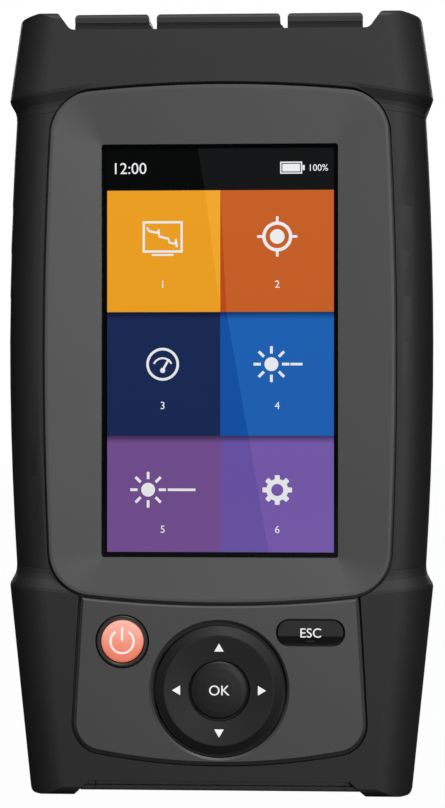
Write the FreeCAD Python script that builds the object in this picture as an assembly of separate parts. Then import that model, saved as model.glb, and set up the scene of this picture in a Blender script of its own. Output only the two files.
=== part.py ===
import FreeCAD, Part
import math
import os

# Handheld optical time domain reflectometer: a rugged tablet-shaped fibre tester.
# It stands upright: +Z is up, the screen faces -Y, and the origin is under the
# middle of the feet.  Millimetres.

V = FreeCAD.Vector
os.makedirs("parts", exist_ok=True)

# ---- Overall form -----------------------------------------------------------
TALL = 214.4             # feet to the tips of the top horns
WIDE = 58.8              # half width at the fat part of each bumper
FOOT_IN = 5.9            # each side leans in by this much at the feet
HORN_IN = 3.3            # and by this much at the horns
HALF_FOOT = WIDE - FOOT_IN
HALF_HORN = WIDE - HORN_IN
Y_BUMPER = -30.2         # front face of the rubber bumpers
Y_BACK = 31.2            # rear face of the rubber bumpers
Y_WAIST = -28.9          # front face of the bare shell between the bumpers
Y_WAIST_BACK = 30.6      # rear face of the bare shell
R_FRONT = 11.0           # big soft edge along both sides at the front
R_REAR = 9.0             # and at the rear
R_WAIST_FRONT = R_FRONT - 1.8
R_WAIST_REAR = R_REAR - 1.0
RUBBER = 2.4             # thickness of the overmoulded rubber
WALL = 2.4               # thickness of the plastic shells
BOND = 0.05              # fit between rubber and shell
Y_SPLIT = 4.0            # where the front and rear shells meet

# ---- Where rubber ends and bare shell starts --------------------------------
FLARE = 6.0              # height of the flared lip of each bumper
LIP_STEPS = ((0.0, 0.0), (0.25, 0.05), (0.45, 0.21), (0.87, 0.9), (1.0, 1.0))   # share of height, of flare
WAIST_IN = 1.95          # the shell is this much narrower where it meets the rubber
Z_FAT_LOW = 57.0
Z_FAT_HIGH = TALL - 23.1
Z_WAIST_LOW = Z_FAT_LOW + FLARE
Z_WAIST_HIGH = Z_FAT_HIGH - FLARE
HALF_WAIST = WIDE - WAIST_IN
TILT_LOW = -0.09         # the rubber edge runs slightly down to the middle
TILT_HIGH = 0.15         # and slightly up at the top
SEAM = 0.08
CLEAR = 0.03             # trimming tools stand this far off flat faces
FAR = 20.0               # trimming tools reach this far past the body

# ---- Top channel, port caps -------------------------------------------------
HORN_RISE = 4.8          # the horns stand this far above the trough
Z_CHANNEL = TALL - HORN_RISE
HORN_DROP = 1.3          # the top of each horn slopes down this much
HORN_SLOPE = 7.0         # over this last stretch to its outer side
HALF_CHANNEL = 40.8
HALF_CHANNEL_TOP = 44.3
CAP_TOP = TALL
CAP_GAP = 0.1
CAP_FRONT = -27.0
CAP_REAR = 10.4
Y_PIVOT = 13.0
Z_PIVOT = CAP_TOP - 2.1
KNUCKLE_R = 1.9
PIN_R = 0.8
PIN_FIT = 0.06
CAP_LEFT = (-39.8, -19.4)
CAP_MIDDLE = (-17.3, 16.6)
CAP_RIGHT = (18.6, 39.2)
CAP_FLARE = 0.9
POCKET_INSET = 2.9       # port pocket edge inside the cap edge
POCKET_FRONT = -14.0
POCKET_REAR = 6.0
POCKET_R = 1.2
PLUG_FIT = 0.5
PLUG_DEEP = 2.0

# ---- Notch between the feet -------------------------------------------------
Z_NOTCH = 4.4
HALF_NOTCH = 35.6
HALF_NOTCH_FOOT = 39.9
Z_BASE_PLATE = 1.2
BASE_HALF_Y = 27.4

# ---- Screen -----------------------------------------------------------------
Y_FRAME = -30.4          # rim of the screen surround
Y_SEAT = Y_BUMPER + RUBBER
Y_LIP = -28.8            # surround surface at the window edge
WINDOW_HALF = 32.4
FRAME_TOP = TALL - 20.05
FRAME_TOP_SIDE = FRAME_TOP - 2.85
FRAME_LOW = 52.95
FRAME_LOW_SIDE = 56.2
FRAME_CHIN = 12.25       # surround below the window
FRAME_BROW = 16.05       # and above it
WINDOW_LOW = FRAME_LOW + FRAME_CHIN
WINDOW_HIGH = FRAME_TOP - FRAME_BROW
FRAME_CHEEK = 15.5       # and beside it, half way up
FRAME_HALF_MID = WINDOW_HALF + FRAME_CHEEK
FRAME_HALF_TOP = FRAME_HALF_MID - 2.3
FRAME_HALF_LOW = FRAME_HALF_MID - 1.8
FRAME_R_TOP = 12.0
FRAME_R_LOW = 12.0
GROOVE = 0.6
DISH_MARGIN = 0.8
FRAME_BEVEL = 0.25
PAD_BEVEL = 0.8
GLASS_LAP = 3.6
GLASS_T = 1.8
GASKET_T = 0.2
LCD_LAP = 1.1
LCD_T = 4.4
LAY_FIT = 0.15

# ---- Keypad -----------------------------------------------------------------
PAD_TOP = FRAME_LOW + 4.0
PAD_TOP_SIDE = FRAME_LOW_SIDE + 2.0
PAD_HALF_TOP = 37.6
PAD_HALF_LOW = 40.2
PAD_BOW = 0.1            # the sides of the key panel are all but straight
PAD_LOW = 8.9
PAD_LOW_SIDE = 13.6
PAD_R = 8.0
PAD_T = 2.4
KEY_PROUD = 0.7
KEY_FIT = 0.35
STEM_FIT = 0.3
POWER_X, POWER_Z = -26.5, 42.35
POWER_R = 5.75
COLLAR_IN = 6.1
COLLAR_OUT = 7.0
POWER_HOLE_R = 7.4
NAV_Z = 29.2
NAV_HOLE_R = 18.6
NAV_R = 17.5
NAV_DISH_R = 14.8
NAV_IN_R = 8.5
NAV_FRONT = -31.2
NAV_BACK = -29.0
NAV_DISH = 0.55
ENTER_R = 8.0
WELL_DEEP = 0.8
GIMBAL_OUT = 11.5
GIMBAL_IN = 5.2
GIMBAL_T = 0.6
RIDGE_GAP = 0.05
WELL_TO_GIMBAL = 0.6      # room under the ring for it to rock
RIDGE_W = 0.8
LEG_R = 1.2
LEG_AT = 14.5
BACK_X, BACK_Z = 24.9, 45.0
BACK_W, BACK_H = 17.7, 6.6
STEM_R = 2.6
FLANGE_R = 4.4
FLANGE_T = 0.75
Y_STEM_END = -23.4
Y_SWITCH = -22.4
Y_BOARD = -20.8
BOARD_T = 1.6
SWITCH_SIDE = 5.2
PLUNGER_R = 0.9
PLUNGER_END = -21.65

# ---- Back -------------------------------------------------------------------
STAND_HALF = 22.0
STAND_ABOVE = 9.0        # between the battery cover and the stand
STAND_AXIS_Z = Z_WAIST_HIGH - 8.5
STAND_AXIS_Y = 28.2
STAND_BARREL_R = 2.2
STAND_FRONT = 27.0
STAND_BACK = 30.2
STAND_FIT = 0.5
STAND_FLOOR = 26.6
STAND_PIN_R = 1.1
COVER_HALF = 42.0
COVER_LOW = 67.5
COVER_HIGH = 109.0
COVER_T = 1.6
COVER_FIT = 0.2
STAND_LOW = COVER_HIGH + STAND_ABOVE
BATTERY_HALF = 36.0
BATTERY_LOW = 71.5
BATTERY_HIGH = 105.0
BATTERY_Y = 8.0
BATTERY_BACK = 27.6
BATTERY_FIT = 0.2
TRAY_T = 1.6
SCREW_X = WIDE - 9.9
SCREW_LOW = Z_WAIST_LOW + 10.0
SCREW_HIGH = Z_WAIST_HIGH - 12.0
SCREW_R = 1.5
SCREW_FIT = 0.1
HEAD_R = 2.8
BOSS_R = 3.6

# ---- Inside -----------------------------------------------------------------
MAIN_Y = -17.0
MAIN_HALF = WIDE - 14.0
MAIN_LOW = 66.0
MAIN_HIGH = Z_CHANNEL - 20.0
POST_R = 3.0
PLATE_TOP = Z_CHANNEL - RUBBER - WALL
PLATE_T = 2.0
MODULE_HALF = 32.0
MODULE_LOW = PLATE_TOP - 55.2
SPOOL_Z = MODULE_LOW + 26.0
MODULE_FRONT = -12.6
MODULE_BACK = 12.0
FERRULE_R = 1.25
PORT_R = 4.4
PORT_TOP = Z_CHANNEL + CAP_GAP - PLUG_DEEP - 0.3


SLEEVE_R = 1.8           # outside of the split sleeve in each optical port
SLEEVE_FIT = 0.08
SLEEVE_DEEP = 7.0
PORTS = {
    "vfl_port": (-29.6, -4.0),
    "otdr_port": (-7.4, -4.0),
    "meter_port": (6.9, -4.0),
}
USB_X, USB_Y = 28.9, -8.2
JACK_X, JACK_Y = 28.9, 1.2
SPEAKER_X, SPEAKER_Z = WIDE - 21.5, 150.0


# ---- Small drawing helpers --------------------------------------------------
def box(x0, x1, y0, y1, z0, z1):
    return Part.makeBox(x1 - x0, y1 - y0, z1 - z0, V(x0, y0, z0))


def rod_x(y, z, r, x0, x1):
    return Part.makeCylinder(r, x1 - x0, V(x0, y, z), V(1, 0, 0))


def rod_y(x, z, r, y0, y1):
    return Part.makeCylinder(r, y1 - y0, V(x, y0, z), V(0, 1, 0))


def rod_z(x, y, r, z0, z1):
    return Part.makeCylinder(r, z1 - z0, V(x, y, z0), V(0, 0, 1))


def ring_y(x, z, r_in, r_out, y0, y1):
    return rod_y(x, z, r_out, y0, y1).cut(rod_y(x, z, r_in, y0 - 1, y1 + 1))


def on_front(u, v):
    return V(u, 0, v)


def on_side(u, v):
    return V(0, u, v)


def rounded_wire(points, radii, place):
    """Closed outline of straight runs joined by arcs of the given radii."""
    count = len(points)
    ends = []
    for i in range(count):
        a, b, c = points[i - 1], points[i], points[(i + 1) % count]
        ua = V(a[0] - b[0], a[1] - b[1], 0).normalize()
        uc = V(c[0] - b[0], c[1] - b[1], 0).normalize()
        half = 0.5 * ua.getAngle(uc)
        back = radii[i] / math.tan(half)
        middle = V(b[0], b[1], 0)
        bisector = (ua + uc).normalize()
        bulge = radii[i] / math.sin(half) - radii[i]
        ends.append((middle + ua * back, middle + bisector * bulge, middle + uc * back))
    edges = []
    for i in range(count):
        p, m, q = ends[i]
        if radii[i] > 0:
            edges.append(Part.Arc(place(p.x, p.y), place(m.x, m.y), place(q.x, q.y)).toShape())
        n = ends[(i + 1) % count][0]
        if (n - q).Length > 1e-6:
            edges.append(Part.makeLine(place(q.x, q.y), place(n.x, n.y)))
    return Part.Wire(edges)


def slab(points, radii, y0, y1):
    """A plate drawn on the front, from y0 back to y1."""
    face = Part.Face(rounded_wire(points, radii, on_front))
    return face.extrude(V(0, y1 - y0, 0)).translate(V(0, y0, 0))


def bar(points, radii, x0, x1):
    """A bar drawn on the side, from x0 to x1."""
    face = Part.Face(rounded_wire(points, radii, on_side))
    return face.extrude(V(x1 - x0, 0, 0)).translate(V(x0, 0, 0))


def rect_slab(half, z0, z1, r, y0, y1):
    points = [(-half, z0), (half, z0), (half, z1), (-half, z1)]
    return slab(points, [r] * 4, y0, y1)


def save(name, shape):
    shape.exportStep("parts/" + name + ".step")


# ---- The body: front outlines pushed back, with big soft side edges ---------
def side_at(z):
    """Half width of the rubber body at height z."""
    if z < Z_FAT_LOW:
        return HALF_FOOT + FOOT_IN * z / Z_FAT_LOW
    if z > Z_FAT_HIGH:
        return WIDE - HORN_IN * (z - Z_FAT_HIGH) / (TALL - Z_FAT_HIGH)
    return WIDE


def edge_at(z_side, tilt, half):
    """Height at half width of a rubber edge that runs to the middle with a tilt."""
    return z_side + tilt * (WIDE - half)


def softened(solid, y_front, y_back, r_front, r_back):
    """Rounds the long side edges of a slab, at the front and at the back."""
    for y, r in ((y_front, r_front), (y_back, r_back)):
        picked = [e for e in front_edges(solid, y)
                  if e.Vertexes[0].X * e.Vertexes[-1].X > 0 and min(abs(v.X) for v in e.Vertexes) > 0.5 * WIDE]
        solid = solid.makeFillet(r, picked)
    return solid


def grown(right, inset, y_front, y_back):
    """Body whose front outline runs up the right side as given, and down the left."""
    points = right + [(-x, z) for x, z in reversed(right)]
    body = slab(points, [0] * len(points), y_front, y_back)
    return softened(body, y_front, y_back, R_FRONT - inset, R_REAR - inset)


def core_form(inset, low):
    """The body without its rubber, inset all round and flat at the bottom."""
    high = TALL - inset
    right = [(side_at(low) - inset, low), (WIDE - inset, Z_FAT_LOW),
             (WIDE - inset, Z_FAT_HIGH), (side_at(high) - inset, high)]
    return grown(right, inset, Y_BUMPER + inset, Y_BACK - inset)


def waist_form():
    """The bare shell between the bumpers, its sides bowed out in the middle."""
    low, high = Z_WAIST_LOW + SEAM, Z_WAIST_HIGH - SEAM
    z0, z1 = edge_at(low, TILT_LOW, HALF_WAIST), edge_at(high, TILT_HIGH, HALF_WAIST)
    m0, m1 = edge_at(low, TILT_LOW, 0), edge_at(high, TILT_HIGH, 0)
    edges = []
    for side in (-1, 1):
        x = side * HALF_WAIST
        bow = Part.Arc(on_front(x, z0), on_front(side * WIDE, 0.5 * (z0 + z1)), on_front(x, z1)).toShape()
        edges += [Part.makeLine(on_front(0, m0), on_front(x, z0)), bow,
                  Part.makeLine(on_front(x, z1), on_front(0, m1))]
    face = Part.Face(Part.Wire(Part.__sortEdges__(edges)))
    body = face.extrude(V(0, Y_WAIST_BACK - Y_WAIST, 0)).translate(V(0, Y_WAIST, 0))
    return softened(body, Y_WAIST, Y_WAIST_BACK, R_WAIST_FRONT, R_WAIST_REAR)


def half_section(half, out, z_side, tilt):
    """Edges of the right half of a section, tilted up or down to the middle.

    out is 0 at the shell and 1 at the full size of the rubber.
    """
    def at(x, y):
        return V(x, y, edge_at(z_side, tilt, x))
    def grow(small, full):
        return small + (full - small) * out
    y_front, y_back = grow(Y_WAIST, Y_BUMPER), grow(Y_WAIST_BACK, Y_BACK)
    a, b, mid = grow(R_WAIST_FRONT, R_FRONT), grow(R_WAIST_REAR, R_REAR), 1.0 - math.sqrt(0.5)
    front = Part.Arc(at(half - a, y_front), at(half - mid * a, y_front + mid * a), at(half, y_front + a))
    back = Part.Arc(at(half, y_back - b), at(half - mid * b, y_back - mid * b), at(half - b, y_back))
    return [Part.makeLine(at(0, y_front), at(half - a, y_front)), front.toShape(),
            Part.makeLine(at(half, y_front + a), at(half, y_back - b)), back.toShape(),
            Part.makeLine(at(half - b, y_back), at(0, y_back)), Part.makeLine(at(0, y_back), at(0, y_front))]


def skinned(sections):
    """Solid through like sections: flat between straight edges, ruled between arcs."""
    faces = [Part.Face(Part.Wire(sections[0])), Part.Face(Part.Wire(sections[-1]))]
    for low, high in zip(sections, sections[1:]):
        for a, b in zip(low, high):
            (p, q), (r, s) = [(e.Vertexes[0].Point, e.Vertexes[-1].Point) for e in (a, b)]
            flat = a.Curve.TypeId == "Part::GeomLine"
            faces.append(Part.Face(Part.makePolygon([p, q, s, r, p])) if flat else Part.makeRuledSurface(a, b))
    shell = Part.makeShell(faces)
    shell.sewShape()
    return Part.makeSolid(shell)


def bumper_form(z_waist, z_fat, z_far, tilt):
    """Rubber body: from the shell up its hollow lip, over the crease, past its end."""
    sections = [half_section(HALF_WAIST + WAIST_IN * out, out, z_waist + (z_fat - z_waist) * up, tilt)
                for up, out in LIP_STEPS]
    far = side_at(z_far)
    sections.append(half_section(far, 1.0, z_far - tilt * (WIDE - far), tilt))
    right = skinned(sections)
    return right.fuse(right.mirror(V(0, 0, 0), V(1, 0, 0))).removeSplitter()


def channel(sink):
    """Trough between the horns, its mouth rounded; sink makes it wider and deeper."""
    wide, floor, mouth = HALF_CHANNEL + sink, Z_CHANNEL - sink, HALF_CHANNEL_TOP + sink
    points = [(-wide, floor), (wide, floor), (mouth, TALL), (mouth + 5, TALL), (mouth + 5, TALL + FAR),
              (-mouth - 5, TALL + FAR), (-mouth - 5, TALL), (-mouth, TALL)]
    return slab(points, [2.2, 2.2, 1.6, 0, 0, 0, 0, 1.6], -40, 40)


def crown():
    """Rounds the horns over at the sides, the front and the back."""
    z_edge = TALL - HORN_DROP
    edge = side_at(z_edge) + CLEAR
    across = [(WIDE + FAR, 120), (WIDE + CLEAR, Z_FAT_HIGH), (edge, z_edge), (edge - HORN_SLOPE, TALL)]
    points = across + [(-x, z) for x, z in reversed(across)]
    front = slab(points, [0, 0, 2.2, 14.0, 14.0, 2.2, 0, 0], -40, 40)
    y0, y1 = Y_BUMPER - CLEAR, Y_BACK + CLEAR
    along = [(y0, 120), (y1, 120), (y1, TALL), (y0, TALL)]
    return front.common(bar(along, [0, 0, 3.0, 2.0], -WIDE - FAR, WIDE + FAR))


def tread():
    """Rounds the feet over at the front and the back."""
    y0, y1 = Y_BUMPER - CLEAR, Y_BACK + CLEAR
    along = [(y0, 0), (y1, 0), (y1, 120), (y0, 120)]
    across = [(-HALF_FOOT, 0), (HALF_FOOT, 0), (HALF_FOOT + 14, 120), (-HALF_FOOT - 14, 120)]
    front = slab(across, [2.0, 2.0, 0, 0], -40, 40)
    return front.common(bar(along, [3.0, 4.0, 0, 0], -WIDE - FAR, WIDE + FAR))


# ---- Curved outlines of the two front panels --------------------------------
def arched_plate(corners, mids, radii, y0, y1):
    """Plate with four bowed edges: corners and mids run round from lower left."""
    edges = []
    for i in range(4):
        a, m, b = corners[i], mids[i], corners[(i + 1) % 4]
        edges.append(Part.Arc(V(a[0], y0, a[1]), V(m[0], y0, m[1]), V(b[0], y0, b[1])).toShape())
    solid = Part.Face(Part.Wire(edges)).extrude(V(0, y1 - y0, 0))
    for i in range(4):
        x, z = corners[i]
        picked = [e for e in solid.Edges if abs(e.Vertexes[0].X - e.Vertexes[-1].X) < 1e-4
                  and abs(e.Vertexes[0].Z - e.Vertexes[-1].Z) < 1e-4
                  and math.hypot(e.Vertexes[0].X - x, e.Vertexes[0].Z - z) < 1e-3]
        if radii[i] > 0 and picked:
            solid = solid.makeFillet(radii[i], picked)
    return solid


def frame_plate(grow, y0, y1):
    low, high = FRAME_LOW_SIDE - grow, FRAME_TOP_SIDE + grow
    foot, head = FRAME_HALF_LOW + grow, FRAME_HALF_TOP + grow
    middle = 0.5 * (low + high)
    corners = [(-foot, low), (foot, low), (head, high), (-head, high)]
    mids = [(0, FRAME_LOW - grow), (FRAME_HALF_MID + grow, middle),
            (0, FRAME_TOP + grow), (-FRAME_HALF_MID - grow, middle)]
    radii = [FRAME_R_LOW + grow, FRAME_R_LOW + grow, FRAME_R_TOP + grow, FRAME_R_TOP + grow]
    return arched_plate(corners, mids, radii, y0, y1)


def pad_plate(grow, y0, y1):
    low, high = PAD_LOW_SIDE - grow, PAD_TOP_SIDE + grow
    corners = [(-PAD_HALF_LOW - grow, low), (PAD_HALF_LOW + grow, low),
               (PAD_HALF_TOP + grow, high), (-PAD_HALF_TOP - grow, high)]
    bow = 0.5 * (PAD_HALF_LOW + PAD_HALF_TOP) + PAD_BOW + grow
    middle = 0.5 * (low + high)
    mids = [(0, PAD_LOW - grow), (bow, middle), (0, PAD_TOP + grow), (-bow, middle)]
    return arched_plate(corners, mids, [PAD_R + grow, PAD_R + grow, 1.6, 1.6], y0, y1)


def front_edges(solid, y):
    return [e for e in solid.Edges if all(abs(v.Y - y) < 1e-4 for v in e.Vertexes)]


# ---- Rubber bumpers ---------------------------------------------------------
def pocket_spans():
    spans = []
    for x0, x1 in (CAP_LEFT, CAP_MIDDLE, CAP_RIGHT):
        spans.append((x0 + POCKET_INSET, x1 - POCKET_INSET))
    return spans


def pockets():
    cut = None
    z0, z1 = Z_CHANNEL - 2 * HORN_RISE, Z_CHANNEL + 2 * HORN_RISE
    for x0, x1 in pocket_spans():
        hole = box(x0, x1, POCKET_FRONT, POCKET_REAR, z0, z1)
        hole = hole.makeFillet(POCKET_R, [e for e in hole.Edges if abs(e.Vertexes[0].Z - e.Vertexes[1].Z) > 1])
        cut = hole if cut is None else cut.fuse(hole)
    return cut


def top_bumper():
    body = bumper_form(Z_WAIST_HIGH, Z_FAT_HIGH, TALL + FAR, TILT_HIGH)
    body = body.common(crown()).cut(channel(0.0))
    core = core_form(RUBBER - BOND, Z_NOTCH + BOND).cut(channel(RUBBER - BOND))
    body = body.cut(core).cut(pockets())
    return body.cut(frame_plate(GROOVE, -40, Y_SEAT + 0.5))


def notch():
    points = [(-HALF_NOTCH_FOOT - 4, -3.8), (HALF_NOTCH_FOOT + 4, -3.8), (HALF_NOTCH, Z_NOTCH), (-HALF_NOTCH, Z_NOTCH)]
    return slab(points, [0, 0, 0.8, 0.8], -40, 40)


def bottom_bumper():
    body = bumper_form(Z_WAIST_LOW, Z_FAT_LOW, -FAR, TILT_LOW)
    body = body.common(tread()).cut(notch())
    body = body.cut(core_form(RUBBER - BOND, Z_NOTCH))
    body = body.cut(frame_plate(GROOVE, -40, Y_SEAT + 0.5))
    return body.cut(pad_plate(GROOVE, -40, Y_SEAT + 0.5))


# ---- Shells -----------------------------------------------------------------
def core_solid():
    core = core_form(RUBBER, Z_NOTCH + BOND).cut(channel(RUBBER))
    return core.fuse(waist_form())


def cavity():
    return core_form(RUBBER + WALL, Z_NOTCH + WALL).cut(channel(RUBBER + WALL))


def seal_band(grow):
    """The rubber seal that runs round the joint of the two shells."""
    outer = core_form(RUBBER + 0.8 - grow, Z_NOTCH + 0.8 - grow).cut(channel(RUBBER + 0.8 - grow))
    inner = core_form(RUBBER + 1.7 + grow, Z_NOTCH + 1.7 + grow).cut(channel(RUBBER + 1.7 + grow))
    return outer.cut(inner).common(box(-WIDE - FAR, WIDE + FAR, Y_SPLIT - 0.6 - grow, Y_SPLIT + 0.6 + grow, -1, TALL + FAR))


def screw_places():
    return [(x, z) for x in (-SCREW_X, SCREW_X) for z in (SCREW_LOW, SCREW_HIGH)]


def board_posts():
    inset = 5.0
    return [(x, z) for x in (-MAIN_HALF + inset, MAIN_HALF - inset)
            for z in (MAIN_LOW + inset - 8.0, MAIN_HIGH + 2.0 - inset)]


def key_posts():
    return [(x, z) for x in (-36.0, 36.0) for z in (14.0, 49.0)]


def switch_places():
    places = [(POWER_X, POWER_Z), (BACK_X, BACK_Z), (0, NAV_Z)]
    for turn in range(4):
        a = math.radians(90 * turn)
        places.append((LEG_AT * math.cos(a), NAV_Z + LEG_AT * math.sin(a)))
    return places


def front_shell(core, hollow, band):
    y_wall = Y_SEAT + WALL
    shell = core.cut(hollow)
    inside = Y_SEAT + GLASS_T + GASKET_T + 1.6
    half = WINDOW_HALF + GLASS_LAP + 2.0
    low, high = WINDOW_LOW - GLASS_LAP - 2.0, WINDOW_HIGH + GLASS_LAP + 2.0
    shell = shell.fuse(box(-half, half, y_wall - 1.0, inside, low, high))
    for x, z in screw_places():
        shell = shell.fuse(rod_y(x, z, BOSS_R, y_wall - 1.0, Y_SPLIT))
    for x, z in board_posts():
        shell = shell.fuse(rod_y(x, z, POST_R, y_wall - 1.0, MAIN_Y))
    for x, z in key_posts():
        shell = shell.fuse(rod_y(x, z, 2.2, y_wall - 1.0, Y_BOARD))
    shell = shell.common(box(-WIDE - FAR, WIDE + FAR, -80, Y_SPLIT, -1, TALL + FAR))
    shell = shell.cut(frame_plate(GROOVE, -40, Y_SEAT))
    shell = shell.cut(glass_block(LAY_FIT, Y_SEAT - 1, Y_SEAT + GLASS_T + GASKET_T))
    shell = shell.cut(lcd_block(0.4, Y_SEAT - 1, inside + 1))
    shell = shell.cut(rod_y(0, NAV_Z, NAV_HOLE_R - 0.4, Y_SEAT - 1, Y_SEAT + WELL_DEEP))
    for x, z in ((POWER_X, POWER_Z), (BACK_X, BACK_Z), (0, NAV_Z)):
        shell = shell.cut(rod_y(x, z, STEM_R + STEM_FIT, -40, y_wall + 0.5))
    for x, z in switch_places()[3:]:
        shell = shell.cut(rod_y(x, z, LEG_R + 0.7, -40, y_wall + 0.5))
    for x, z in screw_places():
        shell = shell.cut(rod_y(x, z, SCREW_R + SCREW_FIT, -20, Y_SPLIT + 1))
    for x, z in board_posts():
        shell = shell.cut(rod_y(x, z, 1.1, MAIN_Y - 5.0, MAIN_Y + 1))
    return shell.cut(pockets()).cut(band)


def rear_shell(core, hollow, band):
    y_in = Y_WAIST_BACK - 3.0
    shell = core.cut(hollow)
    shell = shell.fuse(box(-STAND_HALF - 6, STAND_HALF + 6, 24.0, y_in + 1, STAND_LOW - 6, STAND_AXIS_Z + 7))
    tray = BATTERY_HALF + BATTERY_FIT + TRAY_T
    low, high = BATTERY_LOW - BATTERY_FIT - TRAY_T, BATTERY_HIGH + BATTERY_FIT + TRAY_T
    shell = shell.fuse(box(-tray, tray, BATTERY_Y - TRAY_T, y_in + 1, low, high))
    for x, z in screw_places():
        shell = shell.fuse(rod_y(x, z, BOSS_R, Y_SPLIT, y_in + 1))
    for x, z in cover_screw_places():
        shell = shell.fuse(rod_y(x, z, 2.2, y_in - 8, y_in + 1))
    shell = shell.common(box(-WIDE - FAR, WIDE + FAR, Y_SPLIT, 80, -1, TALL + FAR))
    shell = shell.cut(battery_block(BATTERY_FIT, BATTERY_Y, Y_WAIST_BACK + 5))
    shell = shell.cut(rect_slab(COVER_HALF, COVER_LOW, COVER_HIGH, 4.0, Y_WAIST_BACK - COVER_T, 40))
    shell = shell.cut(stand_recess())
    shell = shell.cut(rod_x(STAND_AXIS_Y, STAND_AXIS_Z, STAND_PIN_R + 0.02, -STAND_HALF - 4, STAND_HALF + 4))
    for x, z in screw_places():
        shell = shell.cut(rod_y(x, z, SCREW_R + SCREW_FIT, Y_SPLIT - 1, 40))
        shell = shell.cut(rod_y(x, z, HEAD_R + 0.3, Y_WAIST_BACK - 4.0, 40))
    for x, z in cover_screw_places():
        shell = shell.cut(rod_y(x, z, 1.2, y_in - 6, 40))
    for x, z in speaker_slots():
        shell = shell.cut(rod_y(x, z, 0.9, 20, 40))
    for x in contact_places():
        shell = shell.cut(box(x - 1.05, x + 1.05, 0, BATTERY_Y + 1, 98, 102))
    return shell.cut(pockets()).cut(rail_feet(BOND)).cut(band)


# ---- Screen parts -----------------------------------------------------------
def screen_frame():
    """Surround whose four sides slope in to the window."""
    frame = frame_plate(0.0, Y_FRAME, Y_SEAT)
    frame = frame.makeChamfer(FRAME_BEVEL, front_edges(frame, Y_FRAME))
    y_rim = Y_FRAME - 0.02
    wide = Part.Wire(Part.__sortEdges__(front_edges(frame_plate(-DISH_MARGIN, y_rim, 0), y_rim)))
    window = [(-WINDOW_HALF, WINDOW_LOW), (WINDOW_HALF, WINDOW_LOW),
              (WINDOW_HALF, WINDOW_HIGH), (-WINDOW_HALF, WINDOW_HIGH)]
    narrow = rounded_wire(window, [0.8] * 4, on_front)
    narrow.translate(V(0, Y_LIP, 0))
    frame = frame.cut(Part.makeLoft([wide, narrow], True, True))
    return frame.cut(slab(window, [0.8] * 4, -40, 0))


def glass_block(grow, y0, y1):
    half = WINDOW_HALF + GLASS_LAP + grow
    return rect_slab(half, WINDOW_LOW - GLASS_LAP - grow, WINDOW_HIGH + GLASS_LAP + grow, 2.0, y0, y1)


def lcd_block(grow, y0, y1):
    half = WINDOW_HALF + LCD_LAP + grow
    return rect_slab(half, WINDOW_LOW - LCD_LAP - grow, WINDOW_HIGH + LCD_LAP + grow, 0.6, y0, y1)


def display_gasket():
    y0 = Y_SEAT + GLASS_T
    ring = glass_block(-0.4, y0, y0 + GASKET_T)
    return ring.cut(lcd_block(0.6, y0 - 1, y0 + 1))


def lcd_panel():
    y0 = Y_SEAT + GLASS_T
    panel = lcd_block(0.0, y0, y0 + LCD_T)
    rim = lcd_block(-1.5, y0 + LCD_T - 0.6, y0 + LCD_T + 1)
    panel = panel.cut(rim)
    plug = box(8, 26, y0 + LCD_T - 0.6, y0 + LCD_T + 0.5, WINDOW_LOW + 4, WINDOW_LOW + 9)
    return panel.fuse(plug)


# ---- Keypad parts -----------------------------------------------------------
def stadium(x, z, w, h, r, y0, y1):
    points = [(x - w / 2, z - h / 2), (x + w / 2, z - h / 2), (x + w / 2, z + h / 2), (x - w / 2, z + h / 2)]
    return slab(points, [r] * 4, y0, y1)


def keypad_panel():
    y0 = Y_SEAT - PAD_T
    pad = pad_plate(0.0, y0, Y_SEAT).cut(frame_plate(GROOVE, -40, 0))
    pad = pad.makeChamfer(PAD_BEVEL, front_edges(pad, y0))
    pad = pad.cut(rod_y(POWER_X, POWER_Z, POWER_HOLE_R, -40, 0))
    well = rod_y(0, NAV_Z, NAV_HOLE_R, -40, 0)
    flare = Part.makeCone(NAV_HOLE_R + 0.6, NAV_HOLE_R, 0.6, V(0, y0, NAV_Z), V(0, 1, 0))
    pad = pad.cut(well).cut(flare)
    return pad.cut(stadium(BACK_X, BACK_Z, BACK_W + 1.1, BACK_H + 1.0, 3.6, -40, 0))


def stem(x, z):
    """Guide stem with the catch that stops the key falling out forwards."""
    y_wall = Y_SEAT + WALL
    post = rod_y(x, z, STEM_R, Y_BUMPER, Y_STEM_END)
    return post.fuse(rod_y(x, z, FLANGE_R, y_wall + BOND, y_wall + FLANGE_T))


def domed_disc(x, z, r, y_front, y_back, sag, edge):
    """Round key cap turned about Y: a low crown of height sag, then a bevelled edge."""
    rise = [(0.45 * r, 0.12 * sag), (0.75 * r, 0.5 * sag), (r - edge, sag), (r - 0.3 * edge, sag + 0.35 * edge),
            (r, sag + edge)]
    points = [(0, y_front)] + [(at, y_front + drop) for at, drop in rise] + [(r, y_back), (0, y_back)]
    wire = Part.makePolygon([V(at, y, 0) for at, y in points + points[:1]])
    return Part.Face(wire).revolve(V(0, 0, 0), V(0, 1, 0), 360).translate(V(x, 0, z))


def power_key():
    cap = domed_disc(POWER_X, POWER_Z, POWER_R, Y_BUMPER - 0.45, Y_SEAT - 1.0, 0.25, 0.5)
    return cap.fuse(stem(POWER_X, POWER_Z))


def power_ring():
    y0 = Y_BUMPER - 0.3
    ring = ring_y(POWER_X, POWER_Z, COLLAR_IN, COLLAR_OUT, y0, Y_SEAT)
    return ring.makeChamfer(0.25, front_edges(ring, y0))


def enter_key():
    cap = domed_disc(0, NAV_Z, ENTER_R, NAV_FRONT + NAV_DISH - 0.15, NAV_BACK - 0.3, 0.3, 0.6)
    return cap.fuse(stem(0, NAV_Z))


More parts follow.
